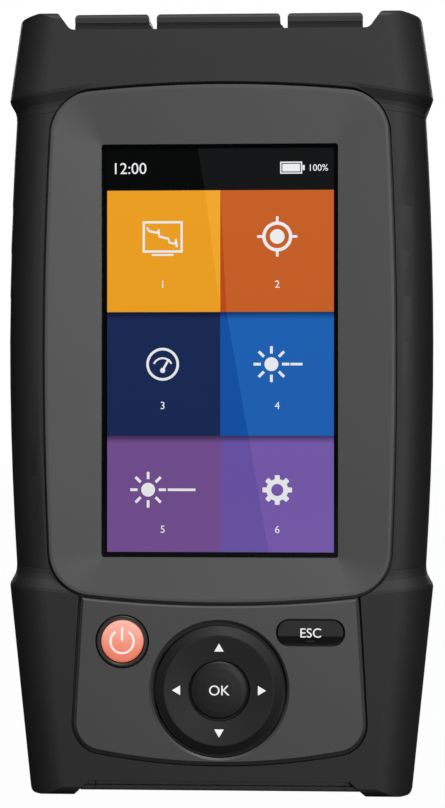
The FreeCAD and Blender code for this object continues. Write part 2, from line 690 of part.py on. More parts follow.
def back_key():
    y0 = Y_BUMPER - KEY_PROUD
    cap = stadium(BACK_X, BACK_Z, BACK_W, BACK_H, 3.1, y0, Y_SEAT - 1.0)
    slope = [(y0 - 3, BACK_Z - 8), (y0 + 1.7, BACK_Z - 8), (y0 + 1.3, BACK_Z - BACK_H / 2),
             (y0, BACK_Z - 0.9), (y0 - 3, BACK_Z - 0.9)]
    cap = cap.cut(bar(slope, [0] * 5, BACK_X - 20, BACK_X + 20))
    return cap.fuse(stem(BACK_X, BACK_Z))


def nav_ring():
    pts = [(NAV_IN_R, NAV_FRONT + NAV_DISH), (NAV_DISH_R, NAV_FRONT), (NAV_DISH_R + 0.3, NAV_FRONT),
           (NAV_R, NAV_FRONT + 1.0), (NAV_R, NAV_BACK), (NAV_IN_R, NAV_BACK)]
    wire = Part.makePolygon([V(r, y, 0) for r, y in pts + [pts[0]]])
    ring = Part.Face(wire).revolve(V(0, 0, 0), V(0, 1, 0), 360).translate(V(0, 0, NAV_Z))
    reach = NAV_BACK + WELL_TO_GIMBAL - RIDGE_GAP
    for side in (-1, 1):
        ring = ring.fuse(box(-RIDGE_W / 2, RIDGE_W / 2, NAV_BACK - 0.2, reach,
                             NAV_Z + side * 10.0 - 1.2, NAV_Z + side * 10.0 + 1.2))
    for x, z in switch_places()[3:]:
        ring = ring.fuse(rod_y(x, z, LEG_R, NAV_BACK - 0.2, Y_SWITCH - 0.9))
    return ring


def nav_gimbal():
    y0 = NAV_BACK + WELL_TO_GIMBAL
    ring = ring_y(0, NAV_Z, GIMBAL_IN, GIMBAL_OUT, y0, y0 + GIMBAL_T)
    floor = Y_SEAT + WELL_DEEP
    for side in (-1, 1):
        x = side * 8.4
        ring = ring.fuse(box(x - 2.4, x + 2.4, y0 + GIMBAL_T - 0.1, floor - RIDGE_GAP,
                             NAV_Z - RIDGE_W / 2, NAV_Z + RIDGE_W / 2))
    return ring


def key_board():
    y0 = Y_BOARD
    board = slab([(-39, 11), (39, 11), (39, 52), (-39, 52)], [3] * 4, y0, y0 + BOARD_T)
    return board


def key_switches():
    parts = []
    half = SWITCH_SIDE / 2
    for x, z in switch_places():
        can = box(x - half, x + half, Y_SWITCH, Y_BOARD, z - half, z + half)
        parts.append(can.cut(rod_y(x, z, PLUNGER_R + 0.15, Y_SWITCH - 1, Y_BOARD + 1)))
    return Part.makeCompound(parts)


def plunger(x, z):
    return rod_y(x, z, PLUNGER_R, Y_STEM_END, PLUNGER_END)


# ---- Port caps, hinge and ports ---------------------------------------------
def port_cap(span, flare_left, flare_right):
    x0, x1 = span
    z0 = Z_CHANNEL + CAP_GAP
    points = [(x0 - flare_left, z0), (x1 + flare_right, z0), (x1 + flare_right, z0 + 0.8), (x1, z0 + 1.7),
              (x1, CAP_TOP), (x0, CAP_TOP), (x0, z0 + 1.7), (x0 - flare_left, z0 + 0.8)]
    if flare_left == 0:
        points = points[:6]
    if flare_right == 0:
        points = points[:2] + points[4:]
    radii = [1.3 if p[1] > CAP_TOP - 0.01 else 0 for p in points]
    cap = slab(points, radii, CAP_FRONT, CAP_REAR)
    profile = [(CAP_FRONT, z0), (CAP_REAR, z0), (CAP_REAR, CAP_TOP), (CAP_FRONT, CAP_TOP)]
    cap = cap.common(bar(profile, [0.3, 0, 0, 1.3], x0 - 3, x1 + 3))
    cap = cap.cut(box(x0 - 3, x1 + 3, CAP_FRONT - 1, CAP_FRONT + 0.5, z0 + 1.45, z0 + 2.2))
    w0, w1 = x0 + POCKET_INSET + PLUG_FIT, x1 - POCKET_INSET - PLUG_FIT
    plug = box(w0, w1, POCKET_FRONT + 0.9, POCKET_REAR - PLUG_FIT, z0 - PLUG_DEEP, z0)
    inner = box(w0 + 1, w1 - 1, POCKET_FRONT + 1.9, POCKET_REAR - PLUG_FIT - 1, z0 - PLUG_DEEP - 1, z0)
    cap = cap.fuse(plug.cut(inner))
    k0, k1 = knuckle_span(span)
    cap = cap.fuse(box(k0, k1, CAP_REAR - 1, Y_PIVOT, Z_PIVOT - 1.2, Z_PIVOT + 1.2))
    cap = cap.fuse(rod_x(Y_PIVOT, Z_PIVOT, KNUCKLE_R, k0, k1))
    return cap.cut(rod_x(Y_PIVOT, Z_PIVOT, PIN_R + PIN_FIT, x0 - 5, x1 + 5))


def knuckle_span(span):
    return span[0] + 4.4, span[1] - 4.4


def cap_pins():
    pins = []
    for x0, x1 in (CAP_LEFT, CAP_MIDDLE, CAP_RIGHT):
        pins.append(rod_x(Y_PIVOT, Z_PIVOT, PIN_R, x0 + 1.2, x1 - 1.2))
    return Part.makeCompound(pins)


def rail_feet(grow):
    """Two pegs that locate the hinge rail in the rear shell."""
    pegs = None
    for x in (-30, 0, 30):
        peg = rod_z(x, 21.0, 2.0 + grow, Z_CHANNEL - RUBBER - WALL - 1, Z_CHANNEL + 1)
        pegs = peg if pegs is None else pegs.fuse(peg)
    return pegs


def port_rail():
    half = HALF_CHANNEL - 1.4
    top = Z_PIVOT + 1.0
    profile = [(Y_PIVOT + 2.6, Z_CHANNEL), (Y_BACK - 3.0, Z_CHANNEL), (Y_BACK - 3.0, top), (Y_PIVOT + 2.6, top)]
    rail = bar(profile, [0, 0, 1.6, 0.5], -half, half)
    for span in (CAP_LEFT, CAP_MIDDLE, CAP_RIGHT):
        k0, k1 = knuckle_span(span)
        for a, b in ((span[0] + 1.2, k0 - 0.3), (k1 + 0.3, span[1] - 1.2)):
            lug = rod_x(Y_PIVOT, Z_PIVOT, KNUCKLE_R, a, b)
            lug = lug.fuse(box(a, b, Y_PIVOT, Y_PIVOT + 3.0, Z_CHANNEL, Z_PIVOT + 0.9))
            rail = rail.fuse(lug)
    rail = rail.fuse(rail_feet(0.0).common(box(-50, 50, 0, 40, Z_CHANNEL - RUBBER - WALL, Z_CHANNEL + 0.5)))
    return rail.cut(rod_x(Y_PIVOT, Z_PIVOT, PIN_R + 0.02, -60, 60))


def port_plate():
    z1 = PLATE_TOP
    plate = box(-39.0, 39.0, POCKET_FRONT - 4, POCKET_REAR + 4, z1 - PLATE_T, z1)
    for name in PORTS:
        x, y = PORTS[name]
        plate = plate.cut(rod_z(x, y, SLEEVE_R + SLEEVE_FIT, z1 - 5, z1 + 1))
    return plate


def optical_port(name):
    """Flanged adapter with the split sleeve that takes a ferrule."""
    x, y = PORTS[name]
    flange = box(x - 6.0, x + 6.0, y - 6.6, y + 6.6, PLATE_TOP, PLATE_TOP + 1.4)
    flange = flange.makeFillet(1.5, [e for e in flange.Edges if abs(e.Vertexes[0].Z - e.Vertexes[1].Z) > 1])
    body = flange.fuse(rod_z(x, y, PORT_R, PLATE_TOP, PORT_TOP))
    moat = rod_z(x, y, PORT_R - 1.0, PLATE_TOP + 1.0, PORT_TOP + 1)
    body = body.cut(moat).fuse(rod_z(x, y, SLEEVE_R, PLATE_TOP - SLEEVE_DEEP, PORT_TOP - 0.4))
    return body.cut(rod_z(x, y, FERRULE_R + 0.01, PLATE_TOP - 20, PORT_TOP + 1))


def usb_socket():
    body = box(USB_X - 6.9, USB_X + 6.9, USB_Y - 3.3, USB_Y + 3.3, PLATE_TOP, PORT_TOP)
    body = body.cut(box(USB_X - 6.3, USB_X + 6.3, USB_Y - 2.6, USB_Y + 2.6, PLATE_TOP + 0.6, PORT_TOP + 1))
    return body.fuse(box(USB_X - 5.4, USB_X + 5.4, USB_Y - 0.2, USB_Y + 1.6, PLATE_TOP, PORT_TOP - 0.7))


def dc_jack():
    body = rod_z(JACK_X, JACK_Y, 4.1, PLATE_TOP, PORT_TOP)
    body = body.cut(rod_z(JACK_X, JACK_Y, 2.8, PLATE_TOP + 0.8, PORT_TOP + 1))
    return body.fuse(rod_z(JACK_X, JACK_Y, 1.0, PLATE_TOP + 0.5, PORT_TOP - 0.8))


def optical_module():
    top = PLATE_TOP - PLATE_T
    body = box(-MODULE_HALF, MODULE_HALF, MODULE_FRONT, MODULE_BACK, MODULE_LOW, top)
    for name in PORTS:
        x, y = PORTS[name]
        body = body.cut(rod_z(x, y, SLEEVE_R + SLEEVE_FIT, PLATE_TOP - SLEEVE_DEEP, top + 1))
    for i in range(5):
        x = -24 + 12 * i
        body = body.cut(box(x - 3.5, x + 3.5, MODULE_BACK - 2.0, MODULE_BACK + 1, MODULE_LOW + 5, top - 6))
    return body


def fibre_spool():
    y1 = MODULE_FRONT
    spool = ring_y(0, SPOOL_Z, 9.0, 19.0, y1 - 2.2, y1)
    return spool.cut(ring_y(0, SPOOL_Z, 12.0, 17.6, y1 - 3, y1 - 0.8))


# ---- Boards, battery, speaker -----------------------------------------------
def main_board():
    board = rect_slab(MAIN_HALF, MAIN_LOW - 6, MAIN_HIGH, 2.0, MAIN_Y, MAIN_Y + BOARD_T)
    for x, z in board_posts():
        board = board.cut(rod_y(x, z, 1.3, MAIN_Y - 1, MAIN_Y + 5))
    return board


def board_chips():
    y0 = MAIN_Y + BOARD_T
    chips = [box(-14, 8, y0, y0 + 1.4, 118, 140), box(16, 28, y0, y0 + 1.2, 122, 134),
             box(-34, -20, y0, y0 + 1.2, 116, 126), box(-34, -20, y0, y0 + 1.2, 130, 140),
             box(14, 36, y0, y0 + 4.5, 70, 78), box(-38, -26, y0, y0 + 6.0, 70, 82)]
    return Part.makeCompound(chips)


def board_screws():
    screws = []
    for x, z in board_posts():
        y0 = MAIN_Y + BOARD_T
        screws.append(rod_y(x, z, 1.05, MAIN_Y - 4.5, y0).fuse(rod_y(x, z, 2.0, y0, y0 + 1.4)))
    return Part.makeCompound(screws)


def battery_block(grow, y0, y1):
    return rect_slab(BATTERY_HALF + grow, BATTERY_LOW - grow, BATTERY_HIGH + grow, 1.5, y0, y1)


def battery_pack():
    return battery_block(0.0, BATTERY_Y, BATTERY_BACK)


def contact_places():
    return [-9.0, -3.0, 3.0, 9.0]


def battery_contacts():
    pieces = [box(x - 1.0, x + 1.0, BATTERY_Y - 2.6, BATTERY_Y - 0.02, 98.05, 101.95) for x in contact_places()]
    return Part.makeCompound(pieces)


def cover_screw_places():
    return [(-38.8, 88.2), (38.8, 88.2)]


def battery_cover():
    half, low, high = COVER_HALF - COVER_FIT, COVER_LOW + COVER_FIT, COVER_HIGH - COVER_FIT
    cover = rect_slab(half, low, high, 3.8, Y_WAIST_BACK - COVER_T, Y_WAIST_BACK)
    for i in range(3):
        x = -8 + 8 * i
        cover = cover.cut(box(x - 1.2, x + 1.2, Y_WAIST_BACK - 0.6, 40, 96, 105))
    for x, z in cover_screw_places():
        cover = cover.cut(rod_y(x, z, 1.7, 0, 40)).cut(rod_y(x, z, 2.6, Y_WAIST_BACK - 0.8, 40))
    return cover


def cover_screws():
    screws = []
    y1 = Y_WAIST_BACK
    for x, z in cover_screw_places():
        shank = rod_y(x, z, 1.15, y1 - 8.0, y1 - 0.7)
        head = rod_y(x, z, 2.4, y1 - 0.8, y1 - 0.1)
        slot = box(x - 2.0, x + 2.0, y1 - 0.5, y1 + 1, z - 0.3, z + 0.3)
        screws.append(shank.fuse(head).cut(slot))
    return Part.makeCompound(screws)


def shell_screws():
    screws = []
    y1 = Y_WAIST_BACK - 4.0
    for x, z in screw_places():
        shank = rod_y(x, z, SCREW_R, -19.5, y1)
        head = rod_y(x, z, HEAD_R, y1, y1 + 2.2).cut(slab_hex(x, z, 1.25, y1 + 0.8, y1 + 3))
        screws.append(shank.fuse(head))
    return Part.makeCompound(screws)


def slab_hex(x, z, r, y0, y1):
    points = [(x + r * math.cos(math.radians(60 * i)), z + r * math.sin(math.radians(60 * i))) for i in range(6)]
    return slab(points, [0] * 6, y0, y1)


def speaker_slots():
    places = [(SPEAKER_X, SPEAKER_Z)]
    for i in range(6):
        a = math.radians(60 * i)
        places.append((SPEAKER_X + 4 * math.cos(a), SPEAKER_Z + 4 * math.sin(a)))
    return places


def speaker():
    y1 = Y_BACK - RUBBER - WALL
    body = rod_y(SPEAKER_X, SPEAKER_Z, 8.0, y1 - 4.0, y1)
    return body.cut(rod_y(SPEAKER_X, SPEAKER_Z, 6.4, y1 - 1.0, y1 + 1))


# ---- Stand and base ---------------------------------------------------------
def stand_recess():
    half = STAND_HALF + STAND_FIT
    recess = rect_slab(half, STAND_LOW - STAND_FIT, STAND_AXIS_Z + 3.0, 1.0, STAND_FLOOR, 40)
    recess = recess.fuse(box(-half, half, STAND_AXIS_Y - 2.6, 40, STAND_AXIS_Z - 3.0, STAND_AXIS_Z + 3.0))
    scoop = Part.makeCylinder(9.0, 20.0, V(-10, STAND_BACK + 5.6, STAND_LOW), V(1, 0, 0))
    return recess.fuse(scoop)


def kickstand():
    points = [(-STAND_HALF + 3, STAND_LOW), (STAND_HALF - 3, STAND_LOW),
              (STAND_HALF, STAND_AXIS_Z), (-STAND_HALF, STAND_AXIS_Z)]
    plate = slab(points, [4.0, 4.0, 0, 0], STAND_FRONT, STAND_BACK)
    window = slab([(-13, STAND_LOW + 16), (13, STAND_LOW + 16), (14, STAND_AXIS_Z - 12), (-14, STAND_AXIS_Z - 12)],
                  [3.0] * 4, STAND_FRONT + 1.4, 40)
    plate = plate.cut(window)
    plate = plate.cut(box(-30, 30, STAND_AXIS_Y + STAND_BARREL_R - 0.2, 40, STAND_AXIS_Z - 1.0, TALL))
    plate = plate.fuse(rod_x(STAND_AXIS_Y, STAND_AXIS_Z, STAND_BARREL_R, -STAND_HALF, STAND_HALF))
    return plate.cut(rod_x(STAND_AXIS_Y, STAND_AXIS_Z, STAND_PIN_R + 0.06, -40, 40))


def stand_pin():
    return rod_x(STAND_AXIS_Y, STAND_AXIS_Z, STAND_PIN_R, -STAND_HALF - 3.5, STAND_HALF + 3.5)


def base_plate():
    half = HALF_NOTCH - 1.2
    y = BASE_HALF_Y
    lip, top = Z_NOTCH - 1.8, Z_NOTCH + BOND
    profile = [(-y, Z_BASE_PLATE), (y, Z_BASE_PLATE), (y, lip), (y - 1.5, lip), (y - 1.5, top),
               (-y + 1.5, top), (-y + 1.5, lip), (-y, lip)]
    return bar(profile, [0.5, 0.5] + [0] * 6, -half, half)


# ---- Write every part -------------------------------------------------------
def main():
    core, hollow, band = core_solid(), cavity(), seal_band(0.05)
    save("front_shell", front_shell(core, hollow, band))
    save("rear_shell", rear_shell(core, hollow, band))
    save("shell_seal", seal_band(0.0).cut(pockets()))
    save("top_bumper", top_bumper().cut(rail_feet(BOND)))
    save("bottom_bumper", bottom_bumper())
    save("screen_frame", screen_frame())
    save("keypad_panel", keypad_panel())
    save("touch_glass", glass_block(0.0, Y_SEAT, Y_SEAT + GLASS_T))
    save("display_gasket", display_gasket())
    save("lcd_panel", lcd_panel())
    save("power_key", power_key())
    save("power_ring", power_ring())
    save("enter_key", enter_key())
    save("back_key", back_key())
    save("nav_ring", nav_ring())
    save("nav_gimbal", nav_gimbal())
    save("power_plunger", plunger(POWER_X, POWER_Z))
    save("enter_plunger", plunger(0, NAV_Z))
    save("back_plunger", plunger(BACK_X, BACK_Z))
    save("key_board", key_board())
    save("key_switches", key_switches())
    save("port_cap_left", port_cap(CAP_LEFT, 0, CAP_FLARE))
    save("port_cap_middle", port_cap(CAP_MIDDLE, 0, CAP_FLARE))
    save("port_cap_right", port_cap(CAP_RIGHT, 0, 0))
    save("cap_pins", cap_pins())
    save("port_rail", port_rail())
    save("port_plate", port_plate())
    for name in PORTS:
        save(name, optical_port(name))
    save("usb_socket", usb_socket())
    save("dc_jack", dc_jack())
    save("optical_module", optical_module())
    save("fibre_spool", fibre_spool())
    save("main_board", main_board())
    save("board_chips", board_chips())
    save("board_screws", board_screws())
    save("battery_pack", battery_pack())
    save("battery_contacts", battery_contacts())
    save("battery_cover", battery_cover())
    save("cover_screws", cover_screws())
    save("shell_screws", shell_screws())
    save("speaker", speaker())
    save("kickstand", kickstand())
    save("stand_pin", stand_pin())
    save("base_plate", base_plate())


main()
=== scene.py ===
# %% [markdown]
# # A handheld fibre tester, finished
# The moulded bodies, keys, caps and stand come from the construction model, at
# their real size.  This lesson gives each of them the finish of the real thing
# and adds what is printed or lit: the menu on the display and the legends on
# the keys.  Three small mouldings are added too: the brow over the surround and
# the two ends of the base plate.  Everything is in metres, +Z up, and the
# screen faces -Y.

# %% Load the frame
import bpy
import numpy as np
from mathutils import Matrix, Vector


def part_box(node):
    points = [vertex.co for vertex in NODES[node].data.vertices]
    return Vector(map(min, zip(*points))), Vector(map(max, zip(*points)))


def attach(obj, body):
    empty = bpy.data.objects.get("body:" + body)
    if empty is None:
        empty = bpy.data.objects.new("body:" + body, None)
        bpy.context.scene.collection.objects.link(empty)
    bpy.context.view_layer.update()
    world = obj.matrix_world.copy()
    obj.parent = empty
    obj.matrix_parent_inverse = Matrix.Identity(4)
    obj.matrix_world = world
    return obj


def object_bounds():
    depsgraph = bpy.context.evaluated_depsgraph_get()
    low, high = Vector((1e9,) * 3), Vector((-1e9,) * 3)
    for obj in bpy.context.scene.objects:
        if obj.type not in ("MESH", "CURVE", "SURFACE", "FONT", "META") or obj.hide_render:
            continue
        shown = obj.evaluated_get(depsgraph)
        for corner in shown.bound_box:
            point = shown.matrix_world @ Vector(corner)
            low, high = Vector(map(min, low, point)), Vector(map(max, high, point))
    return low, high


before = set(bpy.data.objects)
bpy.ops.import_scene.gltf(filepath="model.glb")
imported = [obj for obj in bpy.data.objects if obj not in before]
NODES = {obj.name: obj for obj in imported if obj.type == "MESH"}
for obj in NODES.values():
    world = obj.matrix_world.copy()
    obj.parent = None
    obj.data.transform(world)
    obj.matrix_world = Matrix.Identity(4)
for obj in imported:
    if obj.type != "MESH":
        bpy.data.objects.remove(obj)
cad_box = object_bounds()
MM = 0.001

# %% [markdown]
# ## Measures taken from the frame
# Pieces that are printed on a surface must follow it.  Their places are read
# from the boxes of the parts that carry them, so nothing floats when a size of
# the construction changes.

# %% Measures
def span(node):
    """The lowest and highest corner of a node, in millimetres."""
    low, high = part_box(node)
    return np.array(low) / MM, np.array(high) / MM


def front(node):
    """x and z of a node's middle, and the y of its foremost point."""
    low, high = span(node)
    return 0.5 * (low[0] + high[0]), 0.5 * (low[2] + high[2]), low[1]


NAV_X, NAV_Z, NAV_Y = front("nav_ring")
POWER_X, POWER_Z, POWER_Y = front("power_key")
BACK_X, BACK_Z, BACK_Y = front("back_key")
ENTER_Y = front("enter_key")[2]
GLASS_Y = front("touch_glass")[2]
print("glass front at", round(GLASS_Y, 2), "ring centre", round(NAV_Z, 2))

# %% [markdown]
# ## Flat artwork as geometry
# A legend can be an image, a decal or a thin shape.  Thin shapes stay sharp at
# any distance and need no picture file, so each symbol here is a set of
# polygons drawn in the plane of the screen, x to the right and z up, and then
# laid onto the surface that carries it by a function y(x, z).  Letters are
# the one exception: they start as a text curve and are laid down as a mesh.

# %% Drawing helpers
def circle(cx, cz, r, count=48):
    """Points at equal angles round a circle of radius r."""
    turns = np.radians(np.linspace(0.0, 360.0, count, endpoint=False))
    return np.column_stack([cx + r * np.cos(turns), cz + r * np.sin(turns)])


def strip(left, right):
    """Quads between two equally long rows of points: row i joins left i to right i."""
    count = len(left)
    points = np.vstack([left, right])
    i = np.arange(count - 1)
    return points, np.column_stack([i, i + 1, i + 1 + count, i + count])


def ring(cx, cz, r_in, r_out, start=0.0, stop=360.0, count=49):
    """A flat ring or arc: the inner and the outer circle joined by quads."""
    turns = np.radians(np.linspace(start, stop, count))
    unit = np.column_stack([np.cos(turns), np.sin(turns)])
    centre = np.array([cx, cz])
    return strip(centre + r_in * unit, centre + r_out * unit)


def stroke(points, width):
    """A line of the given width through points: each point moves half the width
    along the mean normal of its two neighbouring runs."""
    p = np.asarray(points, float)
    run = np.gradient(p, axis=0)
    run /= np.linalg.norm(run, axis=1)[:, None]
    side = np.column_stack([-run[:, 1], run[:, 0]]) * width / 2
    return strip(p + side, p - side)


def solid(points):
    """One filled polygon."""
    p = np.asarray(points, float)
    return p, np.arange(len(p))[None, :]


def block(x0, x1, z0, z1):
    """An upright rectangle."""
    return solid([(x0, z0), (x1, z0), (x1, z1), (x0, z1)])


def add_piece(name, mesh, material, body):
    """A finished mesh becomes a piece: one material, one slot, one body to ride on."""
    mesh.materials.clear()
    mesh.materials.append(material)
    piece = bpy.data.objects.new(name, mesh)
    bpy.context.scene.collection.objects.link(piece)
    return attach(piece, body)


def face_front(mesh):
    """Turns the faces that look back, so that all of them look to -Y."""
    mesh.update()
    for polygon in mesh.polygons:
        if polygon.normal.y > 0:
            polygon.flip()


def lay(name, shapes, surface, body, material, slot):
    """Mesh of flat shapes whose y is surface(x, z), in millimetres."""
    verts = []
    faces = []
    base = 0
    for points, quads in shapes:
        y = surface(points[:, 0], points[:, 1]) * np.ones(len(points))
        verts.append(np.column_stack([points[:, 0], y, points[:, 1]]))
        faces += (np.asarray(quads) + base).tolist()
        base += len(points)
    mesh = bpy.data.meshes.new(name)
    mesh.from_pydata((np.vstack(verts) * MM).tolist(), [], faces)
    face_front(mesh)
    return add_piece(name, mesh, material, body)


CAPITAL = 0.69            # height of a capital letter at font size 1


def lettering(name, words, x, z, height, surface, body, material, slot, align="CENTER"):
    """Letters of a cap height in millimetres: font x goes to x, font y to z, and y is
    surface(x, z)."""
    curve = bpy.data.curves.new(name, "FONT")
    curve.body = words
    curve.align_x = align
    curve.resolution_u = 5
    text = bpy.data.objects.new(name, curve)
    bpy.context.scene.collection.objects.link(text)
    bpy.context.view_layer.update()
    graph = bpy.context.evaluated_depsgraph_get()
    mesh = bpy.data.meshes.new_from_object(text.evaluated_get(graph))
    bpy.data.objects.remove(text)
    flat = np.empty(len(mesh.vertices) * 3)
    mesh.vertices.foreach_get("co", flat)
    flat = flat.reshape(-1, 3)
    scale = height / CAPITAL
    across = x + flat[:, 0] * scale
    up = z - height / 2 + flat[:, 1] * scale
    place = np.column_stack([across, surface(across, up) * np.ones(len(across)), up]) * MM
    mesh.vertices.foreach_set("co", place.ravel())
    face_front(mesh)
    return add_piece(name, mesh, material, body)


print("drawing helpers ready")

# %% [markdown]
# ## Shader maths as expressions
# A finish is easier to read as a formula than as a web of nodes.  Field wraps
# one output socket; adding or multiplying two Fields adds the Math node that
# does it.  Finish owns one material and makes every other kind of node.

# %% Field and Finish
class Field:
    """One number that varies over a surface."""

    def __init__(self, finish, socket):
        self.finish = finish
        self.socket = socket

    def _math(self, operation, first, second):
        return self.finish.make("ShaderNodeMath", {"operation": operation}, [first, second], "Value")

    def __add__(self, other):
        return self._math("ADD", self, other)

    def __sub__(self, other):
        return self._math("SUBTRACT", self, other)

    def __rsub__(self, other):
        return self._math("SUBTRACT", other, self)

    def __mul__(self, other):
        return self._math("MULTIPLY", self, other)

    __radd__ = __add__
    __rmul__ = __mul__

    def between(self, low, high):
        """0 below low, 1 above high, smooth in between."""
        settings = {"interpolation_type": "SMOOTHSTEP"}
        values = {"Value": self, "From Min": low, "From Max": high}
        return self.finish.make("ShaderNodeMapRange", settings, values, "Result")


class Finish:
    """A material with a Principled shader; numbers that never vary go straight to it."""

    def __init__(self, name, **fixed):
        self.material = bpy.data.materials.new(name)
        self.material.use_nodes = True
        self.tree = self.material.node_tree
        self.shader = self.tree.nodes["Principled BSDF"]
        for key, value in fixed.items():
            self.set(key.replace("_", " "), value)
        if "Base_Color" in fixed:
            self.material.diffuse_color = fixed["Base_Color"]
        self.place = Field(self, self.tree.nodes.new("ShaderNodeTexCoord").outputs["Object"])

    def set(self, socket, value):
        """Gives a socket of the shader a value, or links a field to it."""
        target = self.shader.inputs[socket]
        if isinstance(value, Field):
            self.tree.links.new(value.socket, target)
        else:
            target.default_value = value

    def make(self, kind, settings, inputs, output):
        """Adds a node of a kind: settings first, then the values or links of its sockets."""
        node = self.tree.nodes.new(kind)
        for key, value in settings.items():
            setattr(node, key, value)
        pairs = inputs.items() if isinstance(inputs, dict) else enumerate(inputs)
        for key, value in pairs:
            if isinstance(value, Field):
                self.tree.links.new(value.socket, node.inputs[key])
            else:
                node.inputs[key].default_value = value
        return Field(self, node.outputs[output])

    def noise(self, grain_mm, detail=2.0, rough=0.5):
        """Cloudy noise whose lumps are about grain_mm across, from 0 to 1."""
        values = {"Vector": self.place, "Scale": 1.0 / (grain_mm * MM),
                  "Detail": detail, "Roughness": rough}
        return self.make("ShaderNodeTexNoise", {}, values, "Fac")

    def cells(self, grain_mm, output="Distance"):
        """Random points about grain_mm apart: the distance to the nearest, or its colour."""
        values = {"Vector": self.place, "Scale": 1.0 / (grain_mm * MM)}
        return self.make("ShaderNodeTexVoronoi", {}, values, output)

    def axis(self, name):
        """One coordinate of the surface point, in millimetres."""
        split = self.make("ShaderNodeSeparateXYZ", {}, [self.place], name)
        return split * (1.0 / MM)

    def mix(self, amount, first, second):
        """The first colour where amount is 0 and the second where it is 1.  The node has
        a set of sockets for each kind of value, so the colours are named by their place."""
        sockets = {0: amount, 6: first, 7: second}
        return self.make("ShaderNodeMix", {"data_type": "RGBA"}, sockets, 2)

    def bump(self, height, depth_mm, strength=1.0):
        """Relief of depth_mm where height goes from 0 to 1."""
        values = {"Height": height, "Distance": depth_mm * MM, "Strength": strength}
        self.set("Normal", self.make("ShaderNodeBump", {}, values, "Normal"))


def rgb(r, g, b):
    """Screen colour 0-255 turned into linear light."""
    c = np.array([r, g, b]) / 255.0
    light = np.where(c <= 0.04045, c / 12.92, ((c + 0.055) / 1.055) ** 2.4)
    return (float(light[0]), float(light[1]), float(light[2]), 1.0)


def scaled(colour, share):
    """The same hue, darker or lighter by a factor."""
    return tuple(v * share for v in colour[:3]) + (1.0,)


BLACK = (0.0, 0.0, 0.0, 1.0)
print("shader helpers ready")

# %% [markdown]
# ## Moulded rubber
# The bumpers and caps are soft thermoplastic rubber, moulded in a tool that was
# spark-eroded.  That leaves a very fine, even grain, a dull sheen, and faint
# clouds where hands have polished it.  The foot of each cap sits in the trough;
# there the rubber is made matt and darker, which is painted shade, down to a
# near-black painted shadow line at the cap's lower edge.  That band depends on
# height alone, so one function serves all the rubber pieces.

# %% Rubber
TROUGH_DEEP = 4.8         # floor of the trough, below the tips of the horns
SHADED_BAND_HIGH = 1.7           # top of a cap's matt band of painted shade, above that floor
GAP_SHADOW_FULL, GAP_SHADOW_START = 1.25, 1.05        # its painted shadow line darkens from here to there below it


def rubber(name, tone, grain, dull, foot=None):
    """Grained rubber: lumps and pits of size grain, roughness about dull, and below the
    height foot, in millimetres, the matt band of painted shade with its painted shadow line."""
    finish = Finish(name, Specular_IOR_Level=1.0)
    clouds = finish.noise(26.0, 3.0)
    pits = finish.cells(grain)
    fine = finish.noise(grain * 0.45, 1.0)
    colour = finish.mix(clouds.between(0.35, 0.7) * 0.7 + fine * 0.3, scaled(tone, 0.80), tone)
    rough = clouds * 0.14 + dull - 0.07 + fine * 0.06
    # painted shade: below foot the colour is darkened and the rubber made matt, and a near-black
    # painted shadow line lies at the cap's lower edge
    if foot is not None:
        low = 1.0 - finish.axis("Z").between(foot - 0.1, foot + 0.1)
        gap_shadow = 1.0 - finish.axis("Z").between(foot - GAP_SHADOW_FULL, foot - GAP_SHADOW_START)
        colour = finish.mix(low * 0.5 + gap_shadow * 0.5, colour, BLACK)
        rough = rough + low * 0.22 + gap_shadow * 0.15
    finish.set("Base Color", colour)
    finish.set("Roughness", rough)
    finish.bump(pits * 0.6 + fine * 0.5, 0.035, 0.5)
    return finish.material


BUMPER_LOW, BUMPER_HIGH = span("top_bumper")
TROUGH_Z = BUMPER_HIGH[2] - TROUGH_DEEP
BUMPER = rubber("bumper rubber", rgb(36, 36, 36), 0.42, 0.62)
CAP = rubber("cap rubber", rgb(34, 34, 34), 0.36, 0.6, TROUGH_Z + SHADED_BAND_HIGH)
SEAL = rubber("seal rubber", rgb(30, 30, 30), 0.5, 0.7)
print("caps are matt below", round(TROUGH_Z + SHADED_BAND_HIGH, 1))

# %% [markdown]
# ## Moulded and painted plastic
# The shells are glass-filled plastic with a leather-fine texture; the screen
# surround and the key panel are sprayed with a soft grey paint whose metal
# flakes give it a slightly broken shine.

# %% Plastics
def moulded(name, tone, grain, depth, rough):
    """Textured plastic: slow clouds darken it by up to a seventh and a fine grain of
    the given depth, in millimetres, breaks its shine."""
    finish = Finish(name, Specular_IOR_Level=0.9)
    clouds = finish.noise(34.0, 2.0)
    fine = finish.noise(grain, 2.0, 0.6)
    finish.set("Base Color", finish.mix(clouds, scaled(tone, 0.86), tone))
    finish.set("Roughness", fine * 0.12 + clouds * 0.08 + rough - 0.1)
    finish.bump(fine, depth, 0.6)
    return finish.material


def sprayed(name, tone, flake_light, rough):
    """Paint with metal flakes: every cell of 0.16 mm draws a number, and the highest
    make a flake that is flake_light times as bright as the paint."""
    finish = Finish(name, Specular_IOR_Level=0.9, Coat_Roughness=0.35)
    flakes = finish.cells(0.16, "Color")
    sparkle = finish.make("ShaderNodeSeparateColor", {}, [flakes], "Red")
    clouds = finish.noise(40.0, 2.0)
    flake = sparkle.between(0.72, 1.0) * 0.6 + clouds * 0.12
    finish.set("Base Color", finish.mix(flake, tone, scaled(tone, flake_light)))
    finish.set("Metallic", sparkle.between(0.8, 1.0) * 0.4)
    finish.set("Roughness", rough - sparkle * 0.08 + clouds * 0.05)
    finish.set("Coat Weight", 0.1)
    finish.bump(finish.noise(0.5, 1.0), 0.008, 0.5)
    return finish.material


